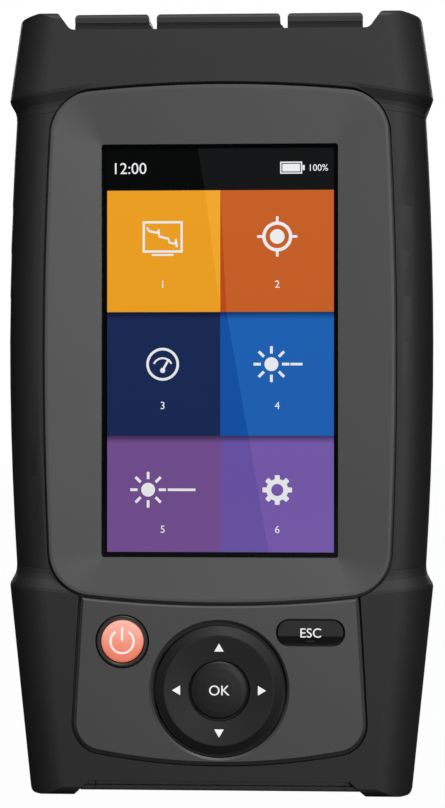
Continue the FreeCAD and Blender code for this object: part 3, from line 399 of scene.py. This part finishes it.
SHELL = moulded("shell plastic", rgb(36, 36, 36), 0.30, 0.03, 0.6)
STAND = moulded("stand plastic", rgb(42, 42, 42), 0.30, 0.03, 0.48)
BASE = moulded("base plastic", rgb(70, 71, 72), 0.35, 0.03, 0.55)
PORT = moulded("port plastic", rgb(38, 38, 39), 0.30, 0.02, 0.45)
DARK = moulded("dark plastic", rgb(26, 26, 27), 0.25, 0.01, 0.4)
SPOOL = moulded("natural plastic", rgb(226, 222, 206), 0.4, 0.01, 0.4)
SURROUND = sprayed("surround paint", rgb(95, 95, 95), 1.3, 0.55)
PANEL = sprayed("panel paint", rgb(90, 90, 90), 1.4, 0.52)
COLLAR = sprayed("collar paint", rgb(60, 60, 61), 1.5, 0.40)
print("plastics:", [material.name for material in (SHELL, STAND, BASE, PORT, DARK, SPOOL)])

# %% [markdown]
# ## Keys
# The ring, the middle key and the return key are moulded in black silicone
# rubber with a thin clear coat, so they shine a little more than the bumpers.
# The power key is a clear orange cap with painted light in its colour: the whole
# cap emits a little, and it grows paler towards the top, a painted highlight.

# %% Key finishes
def key_finish(name, tone, rough):
    """Coated rubber: clouds and a fine grain vary its tone, shine and relief."""
    finish = Finish(name, Specular_IOR_Level=0.5, Coat_Roughness=0.28)
    clouds = finish.noise(9.0, 2.0)
    fine = finish.noise(0.22, 1.0)
    finish.set("Base Color", finish.mix(clouds, scaled(tone, 0.85), tone))
    finish.set("Roughness", clouds * 0.1 + fine * 0.06 + rough - 0.08)
    finish.set("Coat Weight", 0.15)
    finish.bump(fine, 0.008, 0.5)
    return finish.material


def orange_with_painted_light():
    """Orange with painted light: it emits a little, and grows paler with height over the middle of
    the key as a painted highlight from above.
    """
    finish = Finish("power orange", Specular_IOR_Level=0.4, Subsurface_Weight=0.15,
                    Subsurface_Scale=0.002, Emission_Strength=0.6)
    # painted light: the colour turns paler towards the top and is also sent out as emission
    up = finish.axis("Z") - POWER_Z
    paler_top_painted_light = up.between(-4.5, 6.0)
    clouds = finish.noise(3.0, 2.0)
    tone = finish.mix(paler_top_painted_light * 0.8 + clouds * 0.15, rgb(238, 126, 98), rgb(246, 184, 168))
    finish.set("Base Color", tone)
    finish.set("Emission Color", tone)
    finish.set("Roughness", clouds * 0.12 + 0.34)
    finish.bump(finish.noise(0.3, 1.0), 0.006, 0.4)
    return finish.material


KEY = key_finish("key black", rgb(44, 44, 44), 0.5)
ENTER = key_finish("enter black", rgb(38, 38, 38), 0.46)
ORANGE = orange_with_painted_light()
print("keys:", KEY.name, "and", ORANGE.name)

# %% [markdown]
# ## Metals, boards and the battery
# These sit inside or under the caps.  Each gets the marks of how it was made:
# brushing on the steel, a rolled grain on aluminium, copper tracks that show
# through the solder mask, and the wrinkles of a shrink film.

# %% Metals and boards
def metal(name, tone, rough, grain):
    """Brushed metal: noise that changes 14 times faster along Z leaves level streaks."""
    finish = Finish(name, Metallic=1.0)
    squeeze = {"Vector": finish.place, "Scale": (1.0, 1.0, 14.0)}
    stretch = finish.make("ShaderNodeMapping", {}, squeeze, "Vector")
    streaks = {"Vector": stretch, "Scale": 1.0 / (grain * MM), "Detail": 3.0}
    brush = finish.make("ShaderNodeTexNoise", {}, streaks, "Fac")
    finish.set("Base Color", finish.mix(brush, scaled(tone, 0.82), tone))
    finish.set("Roughness", brush * 0.16 + rough - 0.08)
    finish.bump(brush, 0.006, 0.5)
    return finish.material


def board():
    """Circuit board: a track lies where the distance to the nearest point of a
    scattered set is between two values, so tracks run round those points."""
    finish = Finish("circuit board", Specular_IOR_Level=0.5)
    cells = finish.cells(3.2)
    tracks = cells.between(0.30, 0.34) * (1.0 - cells.between(0.38, 0.42))
    finish.set("Base Color", finish.mix(tracks, rgb(12, 74, 40), rgb(28, 112, 62)))
    finish.set("Roughness", tracks * 0.1 + 0.3)
    finish.bump(tracks, 0.03, 0.5)
    return finish.material


def film(name, tone, rough, wave):
    """Shrink film: wrinkles about wave millimetres long."""
    finish = Finish(name, Specular_IOR_Level=0.5)
    folds = finish.noise(wave, 3.0)
    finish.set("Base Color", finish.mix(folds, scaled(tone, 0.8), tone))
    finish.set("Roughness", folds * 0.15 + rough)
    finish.bump(folds, 0.12, 0.4)
    return finish.material


STEEL = metal("plain steel", rgb(176, 177, 180), 0.34, 0.5)
TIN = metal("plated steel", rgb(205, 205, 205), 0.28, 0.4)
ALLOY = metal("milled alloy", rgb(196, 198, 200), 0.36, 0.5)
GOLD = metal("gold plate", rgb(222, 178, 96), 0.25, 0.4)
BOARD = board()
WRAP = film("battery film", rgb(54, 58, 70), 0.3, 12.0)
print("metals:", [material.name for material in (STEEL, TIN, ALLOY, GOLD)])

# %% [markdown]
# ## The dark glass
# A switched-on display looks like a lit picture under black glass.  The glass
# here is near-black with a smooth coat, and the menu is laid a hair in front of
# it with the same coat, so both mirror the room in the same way.  Each tile is
# drawn with the soft shadow that the row above it drops.

# %% Glass and lit picture
COAT = {"Specular_IOR_Level": 0.5, "Coat_Weight": 0.6, "Coat_Roughness": 0.03}
MENU_LOW, MENU_HIGH = 66.0, 178.0         # heights between which a lit colour changes
SHADOW_LONG, SHADOW_OVER = 2.4, 0.4       # a row's shadow, below and above its upper edge


def smeared(finish):
    """Roughness of touched glass: smooth, with faint smears."""
    finish.set("Roughness", finish.noise(22.0, 3.0) * 0.05 + 0.03)


def glass():
    """Near-black glass with finger smears."""
    finish = Finish("display glass", Base_Color=(0.0035, 0.004, 0.0045, 1.0), **COAT)
    smeared(finish)
    return finish.material


def lit(name, low, high, head=None):
    """A lit area whose colour runs from low at the menu's foot to high at its top; under
    the height head, in millimetres, lies the shadow of the row above."""
    finish = Finish(name, Base_Color=(0.004, 0.004, 0.004, 1.0), Emission_Strength=1.0, **COAT)
    rise = finish.axis("Z").between(MENU_LOW, MENU_HIGH)
    fine = finish.noise(0.12, 0.0)
    colour = finish.mix(rise * 0.85 + fine * 0.1, low, high)
    if head is not None:
        near = finish.axis("Z").between(head - SHADOW_LONG, head + SHADOW_OVER)
        colour = finish.mix(near * 0.75, colour, BLACK)
    finish.set("Emission Color", colour)
    smeared(finish)
    return finish.material


GLASS = glass()
print("glass:", GLASS.name)

# %% [markdown]
# ## Finishes onto the parts
# Each construction node already has the right form, so it keeps its mesh and
# only gets a new material.

# %% Dress the nodes
WEAR = {
    BUMPER: ["top_bumper", "bottom_bumper"],
    CAP: ["port_cap_left", "port_cap_middle", "port_cap_right"],
    SEAL: ["shell_seal", "display_gasket"],
    SHELL: ["front_shell", "rear_shell", "battery_cover"],
    STAND: ["kickstand"],
    BASE: ["base_plate"],
    PORT: ["port_rail", "dc_jack"],
    DARK: ["board_chips", "speaker", "nav_gimbal", "lcd_panel",
           "power_plunger", "enter_plunger", "back_plunger"],
    SPOOL: ["fibre_spool"],
    SURROUND: ["screen_frame"],
    PANEL: ["keypad_panel"],
    COLLAR: ["power_ring"],
    KEY: ["nav_ring", "back_key"],
    ENTER: ["enter_key"],
    ORANGE: ["power_key"],
    STEEL: ["cap_pins", "stand_pin", "shell_screws", "cover_screws", "board_screws"],
    TIN: ["key_switches", "usb_socket"],
    ALLOY: ["port_plate", "vfl_port", "otdr_port", "meter_port", "optical_module"],
    GOLD: ["battery_contacts"],
    BOARD: ["main_board", "key_board"],
    WRAP: ["battery_pack"],
    GLASS: ["touch_glass"],
}
dressed = set()
for material, names in WEAR.items():
    for name in names:
        NODES[name].data.materials.clear()
        NODES[name].data.materials.append(material)
    dressed.update(names)
print("dressed", len(dressed), "still bare", sorted(set(NODES) - dressed))

# %% [markdown]
# ## Ends of the base plate
# The plate under the feet runs on until it meets the slope of each foot.  Its
# ends follow that slope, so each is the plate's own stepped outline carried
# sideways as far as the slope allows at every height.

# %% Plate ends
PLATE_LOW, PLATE_HIGH = span("base_plate")
BEVEL = 0.4               # along the plate's lower edges
RIM = 1.4                 # height of the plate's wide lower part
STEP = 1.5                # how much farther in the plate starts above it
RUN = 0.8                 # how far the ends go on at the top of the plate
SUNK = 0.2                # how deep each piece is sunk into its neighbour


def plate_end(side):
    """A stepped outline in y and z at two ends: x is the plate's own end inside, and
    outside it is that end plus a run that shrinks by as much as z rises."""
    (_, y0, z0), (end, y1, z1) = PLATE_LOW, PLATE_HIGH
    rim = z0 + RIM
    outline = np.array([(y0, z0 + BEVEL), (y0 + BEVEL, z0), (y1 - BEVEL, z0), (y1, z0 + BEVEL),
                        (y1, rim), (y1 - STEP, rim), (y1 - STEP, z1),
                        (y0 + STEP, z1), (y0 + STEP, rim), (y0, rim)])
    reach = end + RUN + (z1 - outline[:, 1])
    inner = np.column_stack([np.full(len(outline), end - SUNK), outline])
    outer = np.column_stack([reach, outline])
    count = len(outline)
    i = np.arange(count)
    walls = np.column_stack([i, (i + 1) % count, (i + 1) % count + count, i + count])
    verts = np.vstack([inner, outer]) * np.array([side, 1, 1]) * MM
    lids = [[9, 4, 3, 2, 1, 0], [8, 7, 6, 5]]         # the wide part and the one above it
    far_lids = [[v + count for v in reversed(lid)] for lid in lids]
    mesh = bpy.data.meshes.new("plate_end")
    mesh.from_pydata(verts.tolist(), [], walls.tolist() + lids + far_lids)
    name = "plate_end_" + ("right" if side > 0 else "left")
    return add_piece(name, mesh, BASE, "chassis")


for side in (-1, 1):
    made = plate_end(side)
    print(made.name, "reaches", round(max(abs(v.co.x) for v in made.data.vertices) / MM, 1))

# %% [markdown]
# ## The brow over the surround
# The lip of the upper bumper flares towards the bare shell.  Beside the
# surround the flare is open to view, but over it the rubber stays level with
# the bumper's face and ends in a small round edge at the groove.  The brow is
# a thin skin over that part of the lip: one cross-section, carried along x.

# %% Brow
SURROUND_LOW, SURROUND_HIGH = span("screen_frame")
FACE_Y = BUMPER_LOW[1]
SHELL_Y = span("front_shell")[0][1]
CREASE_DOWN = 23.1        # where the lip starts at the bumper's sides, below its top
CREASE_TILT = 0.15        # how much it rises per millimetre towards the middle
FLARE_LONG = 6.0          # height of the lip
FLARE_UP = [0, 0.25, 0.45, 0.87, 1.0]     # the lip's section: share of its height ...
FLARE_OUT = [0, 0.05, 0.21, 0.9, 1.0]     # ... and share of its way out to the face
ARC_INSET, ARC_SAG = 2.0, 2.85            # the surround's upper edge: a chord and its sag
GAP = 0.65                # groove round the surround
CORNER = 12.6             # radius of the groove's corners
EDGE_R = 0.35             # round lower edge of the brow
BROW_END, BROW_FULL = 43.0, 33.0          # it sinks into the lip between these |x|
SKIN = 0.3                # how far behind the shell's front its back lies


def brow_edge(x):
    """Height of the surround's outline with the groove round it: a flat arc, and past
    its ends a circle of the corner's radius."""
    half = 0.5 * (SURROUND_HIGH[0] - SURROUND_LOW[0]) - ARC_INSET
    radius = (half ** 2 + ARC_SAG ** 2) / (2 * ARC_SAG)
    top = SURROUND_HIGH[2] + GAP
    arc = top - (radius - np.sqrt(radius ** 2 - x ** 2))
    start = half - CORNER + 0.6           # the corner starts a little before the arc ends
    centre = top - ARC_SAG * (start / half) ** 2 - CORNER
    past = np.clip(np.abs(x) - start, 0, CORNER)
    return np.where(past > 0, np.minimum(arc, centre + np.sqrt(CORNER ** 2 - past ** 2)), arc)


def brow_section(crease, low):
    """Heights of the section's points and how far each lies behind the face: straight
    down from the crease, then a quarter circle of radius EDGE_R at the lower edge."""
    high = low + EDGE_R
    heights = [crease + (high - crease) * down for down in (0.0, 0.3, 0.6, 0.9, 0.98)]
    behind = [0.0] * len(heights)
    for turn in np.radians(np.linspace(0, 90, 6)):
        heights.append(low + EDGE_R * (1 - np.sin(turn)))
        behind.append(EDGE_R * (1 - np.cos(turn)))
    return np.array(heights), np.array(behind)[:, None]


def brow(name, columns=97):
    """Rows of the section carried along x.  A smooth share, 1 inside BROW_FULL and 0 at
    BROW_END, blends its y from the level face to just inside the lip's own flare, and
    two more rows behind the shell's front close it."""
    x = np.linspace(-BROW_END, BROW_END, columns)
    half = 0.5 * (BUMPER_HIGH[0] - BUMPER_LOW[0])
    crease = BUMPER_HIGH[2] - CREASE_DOWN + CREASE_TILT * (half - np.abs(x))
    low = brow_edge(x)
    share = np.clip((BROW_END - np.abs(x)) / (BROW_END - BROW_FULL), 0, 1)
    level = share * share * (3 - 2 * share)
    z, behind = brow_section(crease, low)
    up = np.clip((z - (crease - FLARE_LONG)) / FLARE_LONG, 0, 1)
    lip = SHELL_Y + (FACE_Y - SHELL_Y) * np.interp(up, FLARE_UP, FLARE_OUT)
    y = level * (FACE_Y + behind) + (1 - level) * (lip + SUNK)
    back = np.full((1, columns), SHELL_Y + SKIN)
    z = np.vstack([z, low[None, :], crease[None, :]])
    y = np.vstack([y, back, back])
    count = len(z)
    verts = np.stack([np.broadcast_to(x, z.shape), y, z], axis=-1).reshape(-1, 3) * MM
    row, column = np.meshgrid(np.arange(count), np.arange(columns - 1), indexing="ij")
    here = row * columns + column
    below = ((row + 1) % count) * columns + column
    faces = np.stack([here, below, below + 1, here + 1], axis=-1).reshape(-1, 4)
    left_end = (np.arange(count) * columns).tolist()
    right_end = (np.arange(count)[::-1] * columns + columns - 1).tolist()
    mesh = bpy.data.meshes.new(name)
    mesh.from_pydata(verts.tolist(), [], faces.tolist() + [left_end, right_end])
    mesh.polygons.foreach_set("use_smooth", [True] * len(mesh.polygons))
    mesh.set_sharp_from_angle(angle=np.radians(50))
    return add_piece(name, mesh, BUMPER, "chassis")


made = brow("bumper_brow")
print("brow faces", len(made.data.polygons), "looks to -Y:", made.data.polygons[40].normal.y < 0)

# %% [markdown]
# ## The menu on the display
# The working menu is a dark status bar over six coloured tiles, two wide and
# three high.  One slanting line crosses the whole screen and cuts the tiles that
# it meets; what lies right of it is a little lighter, a painted reflection in the
# glass drawn into the menu's colours.  Each part of a tile is one flat polygon.

# %% Tiles
HAIR = 0.02               # between the glass, the picture and the signs on it
PICTURE_Y = GLASS_Y - HAIR
LEFT_EDGE, MIDDLE, RIGHT_EDGE = -30.85, 0.2, 31.25
ROWS = [165.7, 132.4, 98.5, 66.65]        # edges of the three rows, from the top
BAR_TOP = 177.2
REFLECTION_EDGE_TOP, REFLECTION_EDGE_LOW = -6.0, 13.5         # x of the painted reflection's slanting edge at the top and the foot


def on_screen(x, z):
    """The plane of the lit picture."""
    return PICTURE_Y


def on_icons(x, z):
    """A hair in front of the picture."""
    return PICTURE_Y - HAIR


def reflection_edge(z):
    """x of the painted reflection's slanting edge at height z."""
    return REFLECTION_EDGE_LOW + (REFLECTION_EDGE_TOP - REFLECTION_EDGE_LOW) * (z - ROWS[-1]) / (BAR_TOP - ROWS[-1])


def reflection_halves(x0, x1, z0, z1):
    """A rectangle cut by the slanting line into what lies left of it and what lies right of it,
    under the painted reflection.
    """
    foot, head = np.clip([reflection_edge(z0), reflection_edge(z1)], x0, x1)
    left = [(x0, z0), (foot, z0), (head, z1), (x0, z1)]
    right = [(foot, z0), (x1, z0), (x1, z1), (head, z1)]
    return (left if max(foot, head) > x0 else None), (right if min(foot, head) < x1 else None)


TILES = [                 # column, row, colour left of the line, colour right of it (lighter: painted reflection)
    (1, 1, rgb(232, 157, 32), rgb(239, 166, 46)),
    (2, 1, rgb(184, 72, 27), rgb(196, 94, 38)),
    (1, 2, rgb(23, 40, 83), rgb(34, 54, 96)),
    (2, 2, rgb(18, 80, 163), rgb(28, 96, 177)),
    (1, 3, rgb(113, 77, 142), rgb(124, 90, 154)),
    (2, 3, rgb(103, 82, 163), rgb(117, 89, 169)),
]
for column, row, deep, light in TILES:
    x0, x1 = (LEFT_EDGE, MIDDLE) if column == 1 else (MIDDLE, RIGHT_EDGE)
    shadow = ROWS[row - 1] if row > 1 else None
    left, right = reflection_halves(x0, x1, ROWS[row], ROWS[row - 1])
    tag = "tile_%d%d" % (column, row)
    # right of the line the lighter colour is a painted reflection
    for side, corners, colour in (("left", left, deep), ("right", right, light)):
        if corners is not None:
            lamp = lit(tag + " " + side, scaled(colour, 0.94), scaled(colour, 1.06), shadow)
            lay(tag + "_" + side, [solid(corners)], on_screen, "chassis", lamp, "display_lit")
# the right part of the status bar is lighter too: a painted reflection
left, right = reflection_halves(LEFT_EDGE, RIGHT_EDGE, ROWS[0], BAR_TOP)
bar_dark = lit("status left", rgb(1, 3, 3), rgb(2, 4, 4))
lay("status_left", [solid(left)], on_screen, "chassis", bar_dark, "display_lit")
bar_painted_reflection = lit("status painted reflection", rgb(15, 16, 17), rgb(18, 19, 20))
lay("status_painted_reflection", [solid(right)], on_screen, "chassis", bar_painted_reflection, "display_lit")
print("six tiles and a status bar,", round(BAR_TOP - ROWS[-1], 2), "mm high")

# %% [markdown]
# ## Icons
# The icons are generic signs of what each tile does: a trace on a graph, a
# target, a meter, two light sources and a gear.  Plain numbers stand below them.

# %% Icons
WHITE = lit("icon white", rgb(226, 228, 230), rgb(240, 241, 243))
SIGN = (on_icons, "chassis", WHITE, "display_lit")
LEFT_X, RIGHT_X = -15.6, 15.8
TOP_Z, MID_Z, LOW_Z = 153.0, 118.1, 83.7  # middles of the icons
LABEL_Z = [140.0, 106.8, 72.9]            # and of the numbers under them


def compass(k, count):
    """The unit arrow at k parts of a full turn that has count parts."""
    turn = 2 * np.pi * k / count
    return np.array([np.cos(turn), np.sin(turn)])


def rays(cx, cz, inner, outer, count, width):
    """Straight strokes outwards from the radius inner to the radius outer."""
    centre = np.array([cx, cz])
    ends = [(centre + compass(k, count) * inner, centre + compass(k, count) * outer)
            for k in range(count)]
    return [stroke(pair, width) for pair in ends]


def gear(cx, cz, teeth=8, root=3.0, tip=4.05, hole=1.65):
    """Inner circle joined to an outline whose radius goes from root to tip and back once
    for each tooth: a zigzag of the turn, cut off so that only the flanks are left."""
    turns = np.linspace(0, 2 * np.pi, teeth * 24 + 1)
    phase = np.abs(((turns * teeth / (2 * np.pi)) % 1.0) - 0.5) * 2
    radius = root + (tip - root) * np.clip((phase - 0.42) / 0.16, 0, 1)
    unit = np.column_stack([np.cos(turns), np.sin(turns)])
    centre = np.array([cx, cz])
    return [strip(centre + hole * unit, centre + radius[:, None] * unit)]


def frame_of(cx, cz, wide, high, thick):
    """A rectangular outline: its corners, and the same corners drawn in by thick."""
    outer = np.array([(-1, -1), (1, -1), (1, 1), (-1, 1), (-1, -1)]) * [wide / 2, high / 2]
    inner = outer * [(wide - 2 * thick) / wide, (high - 2 * thick) / high]
    centre = np.array([cx, cz])
    return strip(centre + inner, centre + outer)


def level_line(x0, x1, z, width=0.7):
    """A level line from x0 to x1 with its middle at z."""
    return block(x0, x1, z - width / 2, z + width / 2)


def light_source(x, z, line_from, line_to):
    """A lamp with eight rays and the line of light that leaves it."""
    return ([solid(circle(x, z, 1.9))] + rays(x, z, 2.9, 4.9, 8, 0.75)
            + [level_line(line_from, line_to, z)])


# the falling line of a measurement, from the middle of its icon
TRACE = np.array([(-4.3, 2.6), (-3.7, 1.6), (-1.5, 1.1), (-1.2, 2.0), (-0.9, 0.1),
                  (1.6, -0.5), (1.8, -1.5), (3.3, -1.9), (3.6, -0.6), (3.9, -2.8)])
ICONS = {
    "icon_graph": [
        frame_of(LEFT_X, TOP_Z, 11.0, 8.6, 0.6),
        stroke(TRACE + [LEFT_X, TOP_Z], 0.6),
        level_line(LEFT_X - 3.0, LEFT_X + 3.0, TOP_Z - 4.95, 0.5)],
    "icon_target": [
        ring(RIGHT_X, TOP_Z, 3.2, 4.1),
        solid(circle(RIGHT_X, TOP_Z, 2.0))] + rays(RIGHT_X, TOP_Z, 4.0, 5.5, 4, 0.7),
    "icon_meter": [
        ring(LEFT_X, MID_Z, 3.8, 4.5),
        ring(LEFT_X, MID_Z - 1.0, 2.4, 2.9, 25, 155, 25),
        stroke([(LEFT_X, MID_Z - 1.6), (LEFT_X + 1.7, MID_Z + 1.4)], 0.6),
        solid(circle(LEFT_X, MID_Z - 1.7, 0.7))],
    "icon_fault_light": light_source(RIGHT_X - 1.6, MID_Z, RIGHT_X + 3.6, RIGHT_X + 6.9),
    "icon_source": light_source(LEFT_X - 4.0, LOW_Z, LEFT_X + 1.4, LEFT_X + 9.0),
    "icon_gear": gear(RIGHT_X, LOW_Z),
}
for name, shapes in ICONS.items():
    lay(name, shapes, *SIGN)
for k in range(6):
    x = LEFT_X if k % 2 == 0 else RIGHT_X
    lettering("label_%d" % (k + 1), str(k + 1), x, LABEL_Z[k // 2], 2.0, *SIGN)
print("icons", len(ICONS))

# %% [markdown]
# ## Status bar
# A clock on the left and a full battery on the right, all plain signs.

# %% Status signs
BAR_Z = 171.8             # middle height of the signs in the bar
lettering("clock", "12:00", -29.6, BAR_Z, 3.0, *SIGN, "LEFT")
lettering("charge", "100%", 24.2, BAR_Z, 1.75, *SIGN, "LEFT")
battery = [
    frame_of(19.6, BAR_Z, 6.0, 3.3, 0.35),
    level_line(22.7, 23.3, BAR_Z, 1.4),
    level_line(17.2, 22.0, BAR_Z, 2.1),
]
lay("battery_sign", battery, *SIGN)
print("clock and battery at", BAR_Z)

# %% [markdown]
# ## Legends on the keys
# The four arrows, the power sign and the key words are printed in pale ink.
# They follow the crown of each key, so their height comes from the same
# formula as the key: a cone on the ring, a shallow dome on the round keys, and
# the flat face of the return key.

# %% Key legends
def ink():
    """Pale ink with painted light: besides its colour it emits a little light of its own."""
    # painted light: the ink's emission makes it shine whatever the lamps do
    finish = Finish("pale ink", Specular_IOR_Level=0.3, Emission_Color=(1.0, 0.985, 0.97, 1.0),
                    Emission_Strength=0.55)
    clouds = finish.noise(1.2, 2.0)
    finish.set("Base Color", finish.mix(clouds, rgb(228, 228, 228), rgb(246, 246, 246)))
    finish.set("Roughness", clouds * 0.1 + 0.45)
    return finish.material


INK_WITH_PAINTED_LIGHT = ink()
LIFT = 0.03               # of the ink over the key
CONE_OUT, CONE_IN, CONE_DEEP = 14.8, 8.5, 0.55    # the ring's cone: its radii and its fall


def on_ring(x, z):
    """Cone of the ring: the front sinks by CONE_DEEP from the outer radius to the inner."""
    r = np.hypot(x - NAV_X, z - NAV_Z)
    return NAV_Y + CONE_DEEP * (CONE_OUT - r) / (CONE_OUT - CONE_IN) - LIFT


def on_back_key(x, z):
    """The flat face of the return key, where half the lift is enough."""
    return BACK_Y - LIFT * 0.5


def dome(front_y, cx, cz, r, sag, edge):
    """Front of a round key: straight runs from the middle of the crown out to its bevel."""
    at = np.array([0, 0.45 * r, 0.75 * r, r - edge])
    drop = np.array([0, 0.12, 0.5, 1.0]) * sag

    def height(x, z):
        return front_y + np.interp(np.hypot(x - cx, z - cz), at, drop) - LIFT
    return height


def arrow(k):
    """A triangle on the ring at k quarters of a turn, with its tip outwards."""
    centre = np.array([NAV_X, NAV_Z])
    way = compass(k, 4)
    side = np.array([-way[1], way[0]])
    tip = centre + way * 12.8
    foot = centre + way * 10.6
    return strip(np.array([foot - side * 1.3, tip - side * 0.01]),
                 np.array([foot + side * 1.3, tip + side * 0.01]))


lay("ring_arrows", [arrow(k) for k in range(4)], on_ring, "nav_pad", INK_WITH_PAINTED_LIGHT, "key_plastic")
power_face = dome(POWER_Y, POWER_X, POWER_Z, 5.75, 0.25, 0.5)
bar = np.column_stack([np.full(20, POWER_X), POWER_Z + np.linspace(0.3, 3.9, 20)])
# the ring of the power sign is open for 70 degrees at the top
power_sign = [ring(POWER_X, POWER_Z, 2.9, 3.45, 125, 415, 41), stroke(bar, 0.55)]
lay("power_sign", power_sign, power_face, "power_button", INK_WITH_PAINTED_LIGHT, "power_orange")
enter_face = dome(ENTER_Y, NAV_X, NAV_Z, 8.0, 0.3, 0.6)
lettering("enter_word", "OK", NAV_X, NAV_Z, 2.7, enter_face, "enter_button", INK_WITH_PAINTED_LIGHT, "key_plastic")
lettering("back_word", "ESC", BACK_X, BACK_Z, 2.5, on_back_key, "back_button", INK_WITH_PAINTED_LIGHT, "key_plastic")
print("legends on four keys, ring front at", round(NAV_Y, 2))

# %% [markdown]
# ## Floor and room
# The tester stands on pale paper in a white room.  Real paper that close would
# throw light on the long dark sides, so both only look white: the camera sees
# plain white, and every other ray meets a surface that gives almost no light.

# %% Floor and room
def white_out(tree, shaded, output, share):
    """What the camera sees is white to the given share; all other rays meet the surface
    as it is."""
    path = tree.nodes.new("ShaderNodeLightPath")
    part = tree.nodes.new("ShaderNodeMath")
    part.operation = "MULTIPLY"
    part.inputs[1].default_value = share
    white = tree.nodes.new("ShaderNodeEmission")
    white.inputs["Color"].default_value = (1, 1, 1, 1)
    mixer = tree.nodes.new("ShaderNodeMixShader")
    tree.links.new(path.outputs["Is Camera Ray"], part.inputs[0])
    tree.links.new(part.outputs[0], mixer.inputs[0])
    tree.links.new(shaded, mixer.inputs[1])
    tree.links.new(white.outputs[0], mixer.inputs[2])
    tree.links.new(mixer.outputs[0], tree.nodes[output].inputs["Surface"])


def floor(half, material):
    """A level square with its middle under the tester."""
    mesh = bpy.data.meshes.new("floor")
    corners = [(-half, -half, 0), (half, -half, 0), (half, half, 0), (-half, half, 0)]
    mesh.from_pydata(corners, [], [(0, 1, 2, 3)])
    mesh.materials.append(material)
    ground = bpy.data.objects.new("floor", mesh)
    bpy.context.scene.collection.objects.link(ground)


paper = Finish("floor paper", Specular_IOR_Level=0.2)
clouds = paper.noise(60.0, 2.0)
paper.set("Base Color", paper.mix(clouds, (0.03, 0.03, 0.03, 1), (0.04, 0.04, 0.04, 1)))
paper.set("Roughness", 0.9)
white_out(paper.tree, paper.shader.outputs[0], "Material Output", 0.98)
floor(3, paper.material)

world = bpy.data.worlds.new("white room")
bpy.context.scene.world = world
world.use_nodes = True
room = world.node_tree.nodes["Background"]
room.inputs["Color"].default_value = (0.9, 0.9, 0.9, 1)
room.inputs["Strength"].default_value = 0.01
white_out(world.node_tree, room.outputs[0], "World Output", 1.0)
print("floor and room ready")

# %% [markdown]
# ## Lamps
# Dark rubber shows its form only where light grazes it.  A broad lamp high in
# front gives the greys of the face, a small one low on the right opens up the
# feet, and two behind the tester light its back for the views from there.
# None stands where the flat glass would mirror it into the camera.

# %% Lamps
def lamp(name, place, aim, size, power):
    """A rectangular lamp at place whose beam points at aim."""
    light = bpy.data.lights.new(name, "AREA")
    light.shape = "RECTANGLE"
    light.size = size[0]
    light.size_y = size[1]
    light.energy = power
    holder = bpy.data.objects.new(name, light)
    bpy.context.scene.collection.objects.link(holder)
    holder.location = place
    holder.rotation_euler = (Vector(aim) - Vector(place)).to_track_quat("-Z", "Y").to_euler()


LAMPS = [                 # name, place, what it points at, size, power in watts
    ("key_box", (0.20, -0.80, 1.42), (0, 0, 0.11), (0.6, 0.4), 12.5),
    ("low_fill", (0.42, -1.6, 0.24), (0, 0, 0.04), (0.3, 0.3), 4.9),
    ("back_left", (-0.62, 1.48, 0.8), (0, 0, 0.1), (0.4, 0.5), 16.0),
    ("back_right", (0.55, 1.5, 0.8), (0, 0, 0.1), (0.4, 0.5), 16.0),
]
for row in LAMPS:
    lamp(*row)
print("lamps", len(LAMPS))

# %% [markdown]
# ## Camera
# The tester is seen square on from a little more than half a metre, with the
# eye at the middle of its height and a touch to the right of its middle line.
# The lens follows from how much height should fill the picture.

# %% Camera
TURN = np.radians(2.6)    # how far the eye stands to the right
AIM = 0.0008              # and how far left of the middle it looks, in radians
FAR = 0.587
EYE_Z = 0.5 * cad_box[1][2]
SENSOR = 24.0
SEEN_AT, SEEN_HIGH = 0.560, 0.2215        # at this distance the picture is this high
camera = bpy.data.cameras.new("camera")
camera.sensor_fit = "VERTICAL"
camera.sensor_height = SENSOR
camera.lens = SENSOR * SEEN_AT / SEEN_HIGH
eye = bpy.data.objects.new("camera", camera)
bpy.context.scene.collection.objects.link(eye)
eye.location = (FAR * np.sin(TURN), -FAR * np.cos(TURN), EYE_Z)
eye.rotation_euler = (np.pi / 2, 0, TURN + AIM)
bpy.context.scene.camera = eye
bpy.context.scene.view_settings.view_transform = "Standard"
print("camera", [round(v, 3) for v in eye.location], "lens", round(camera.lens, 1))
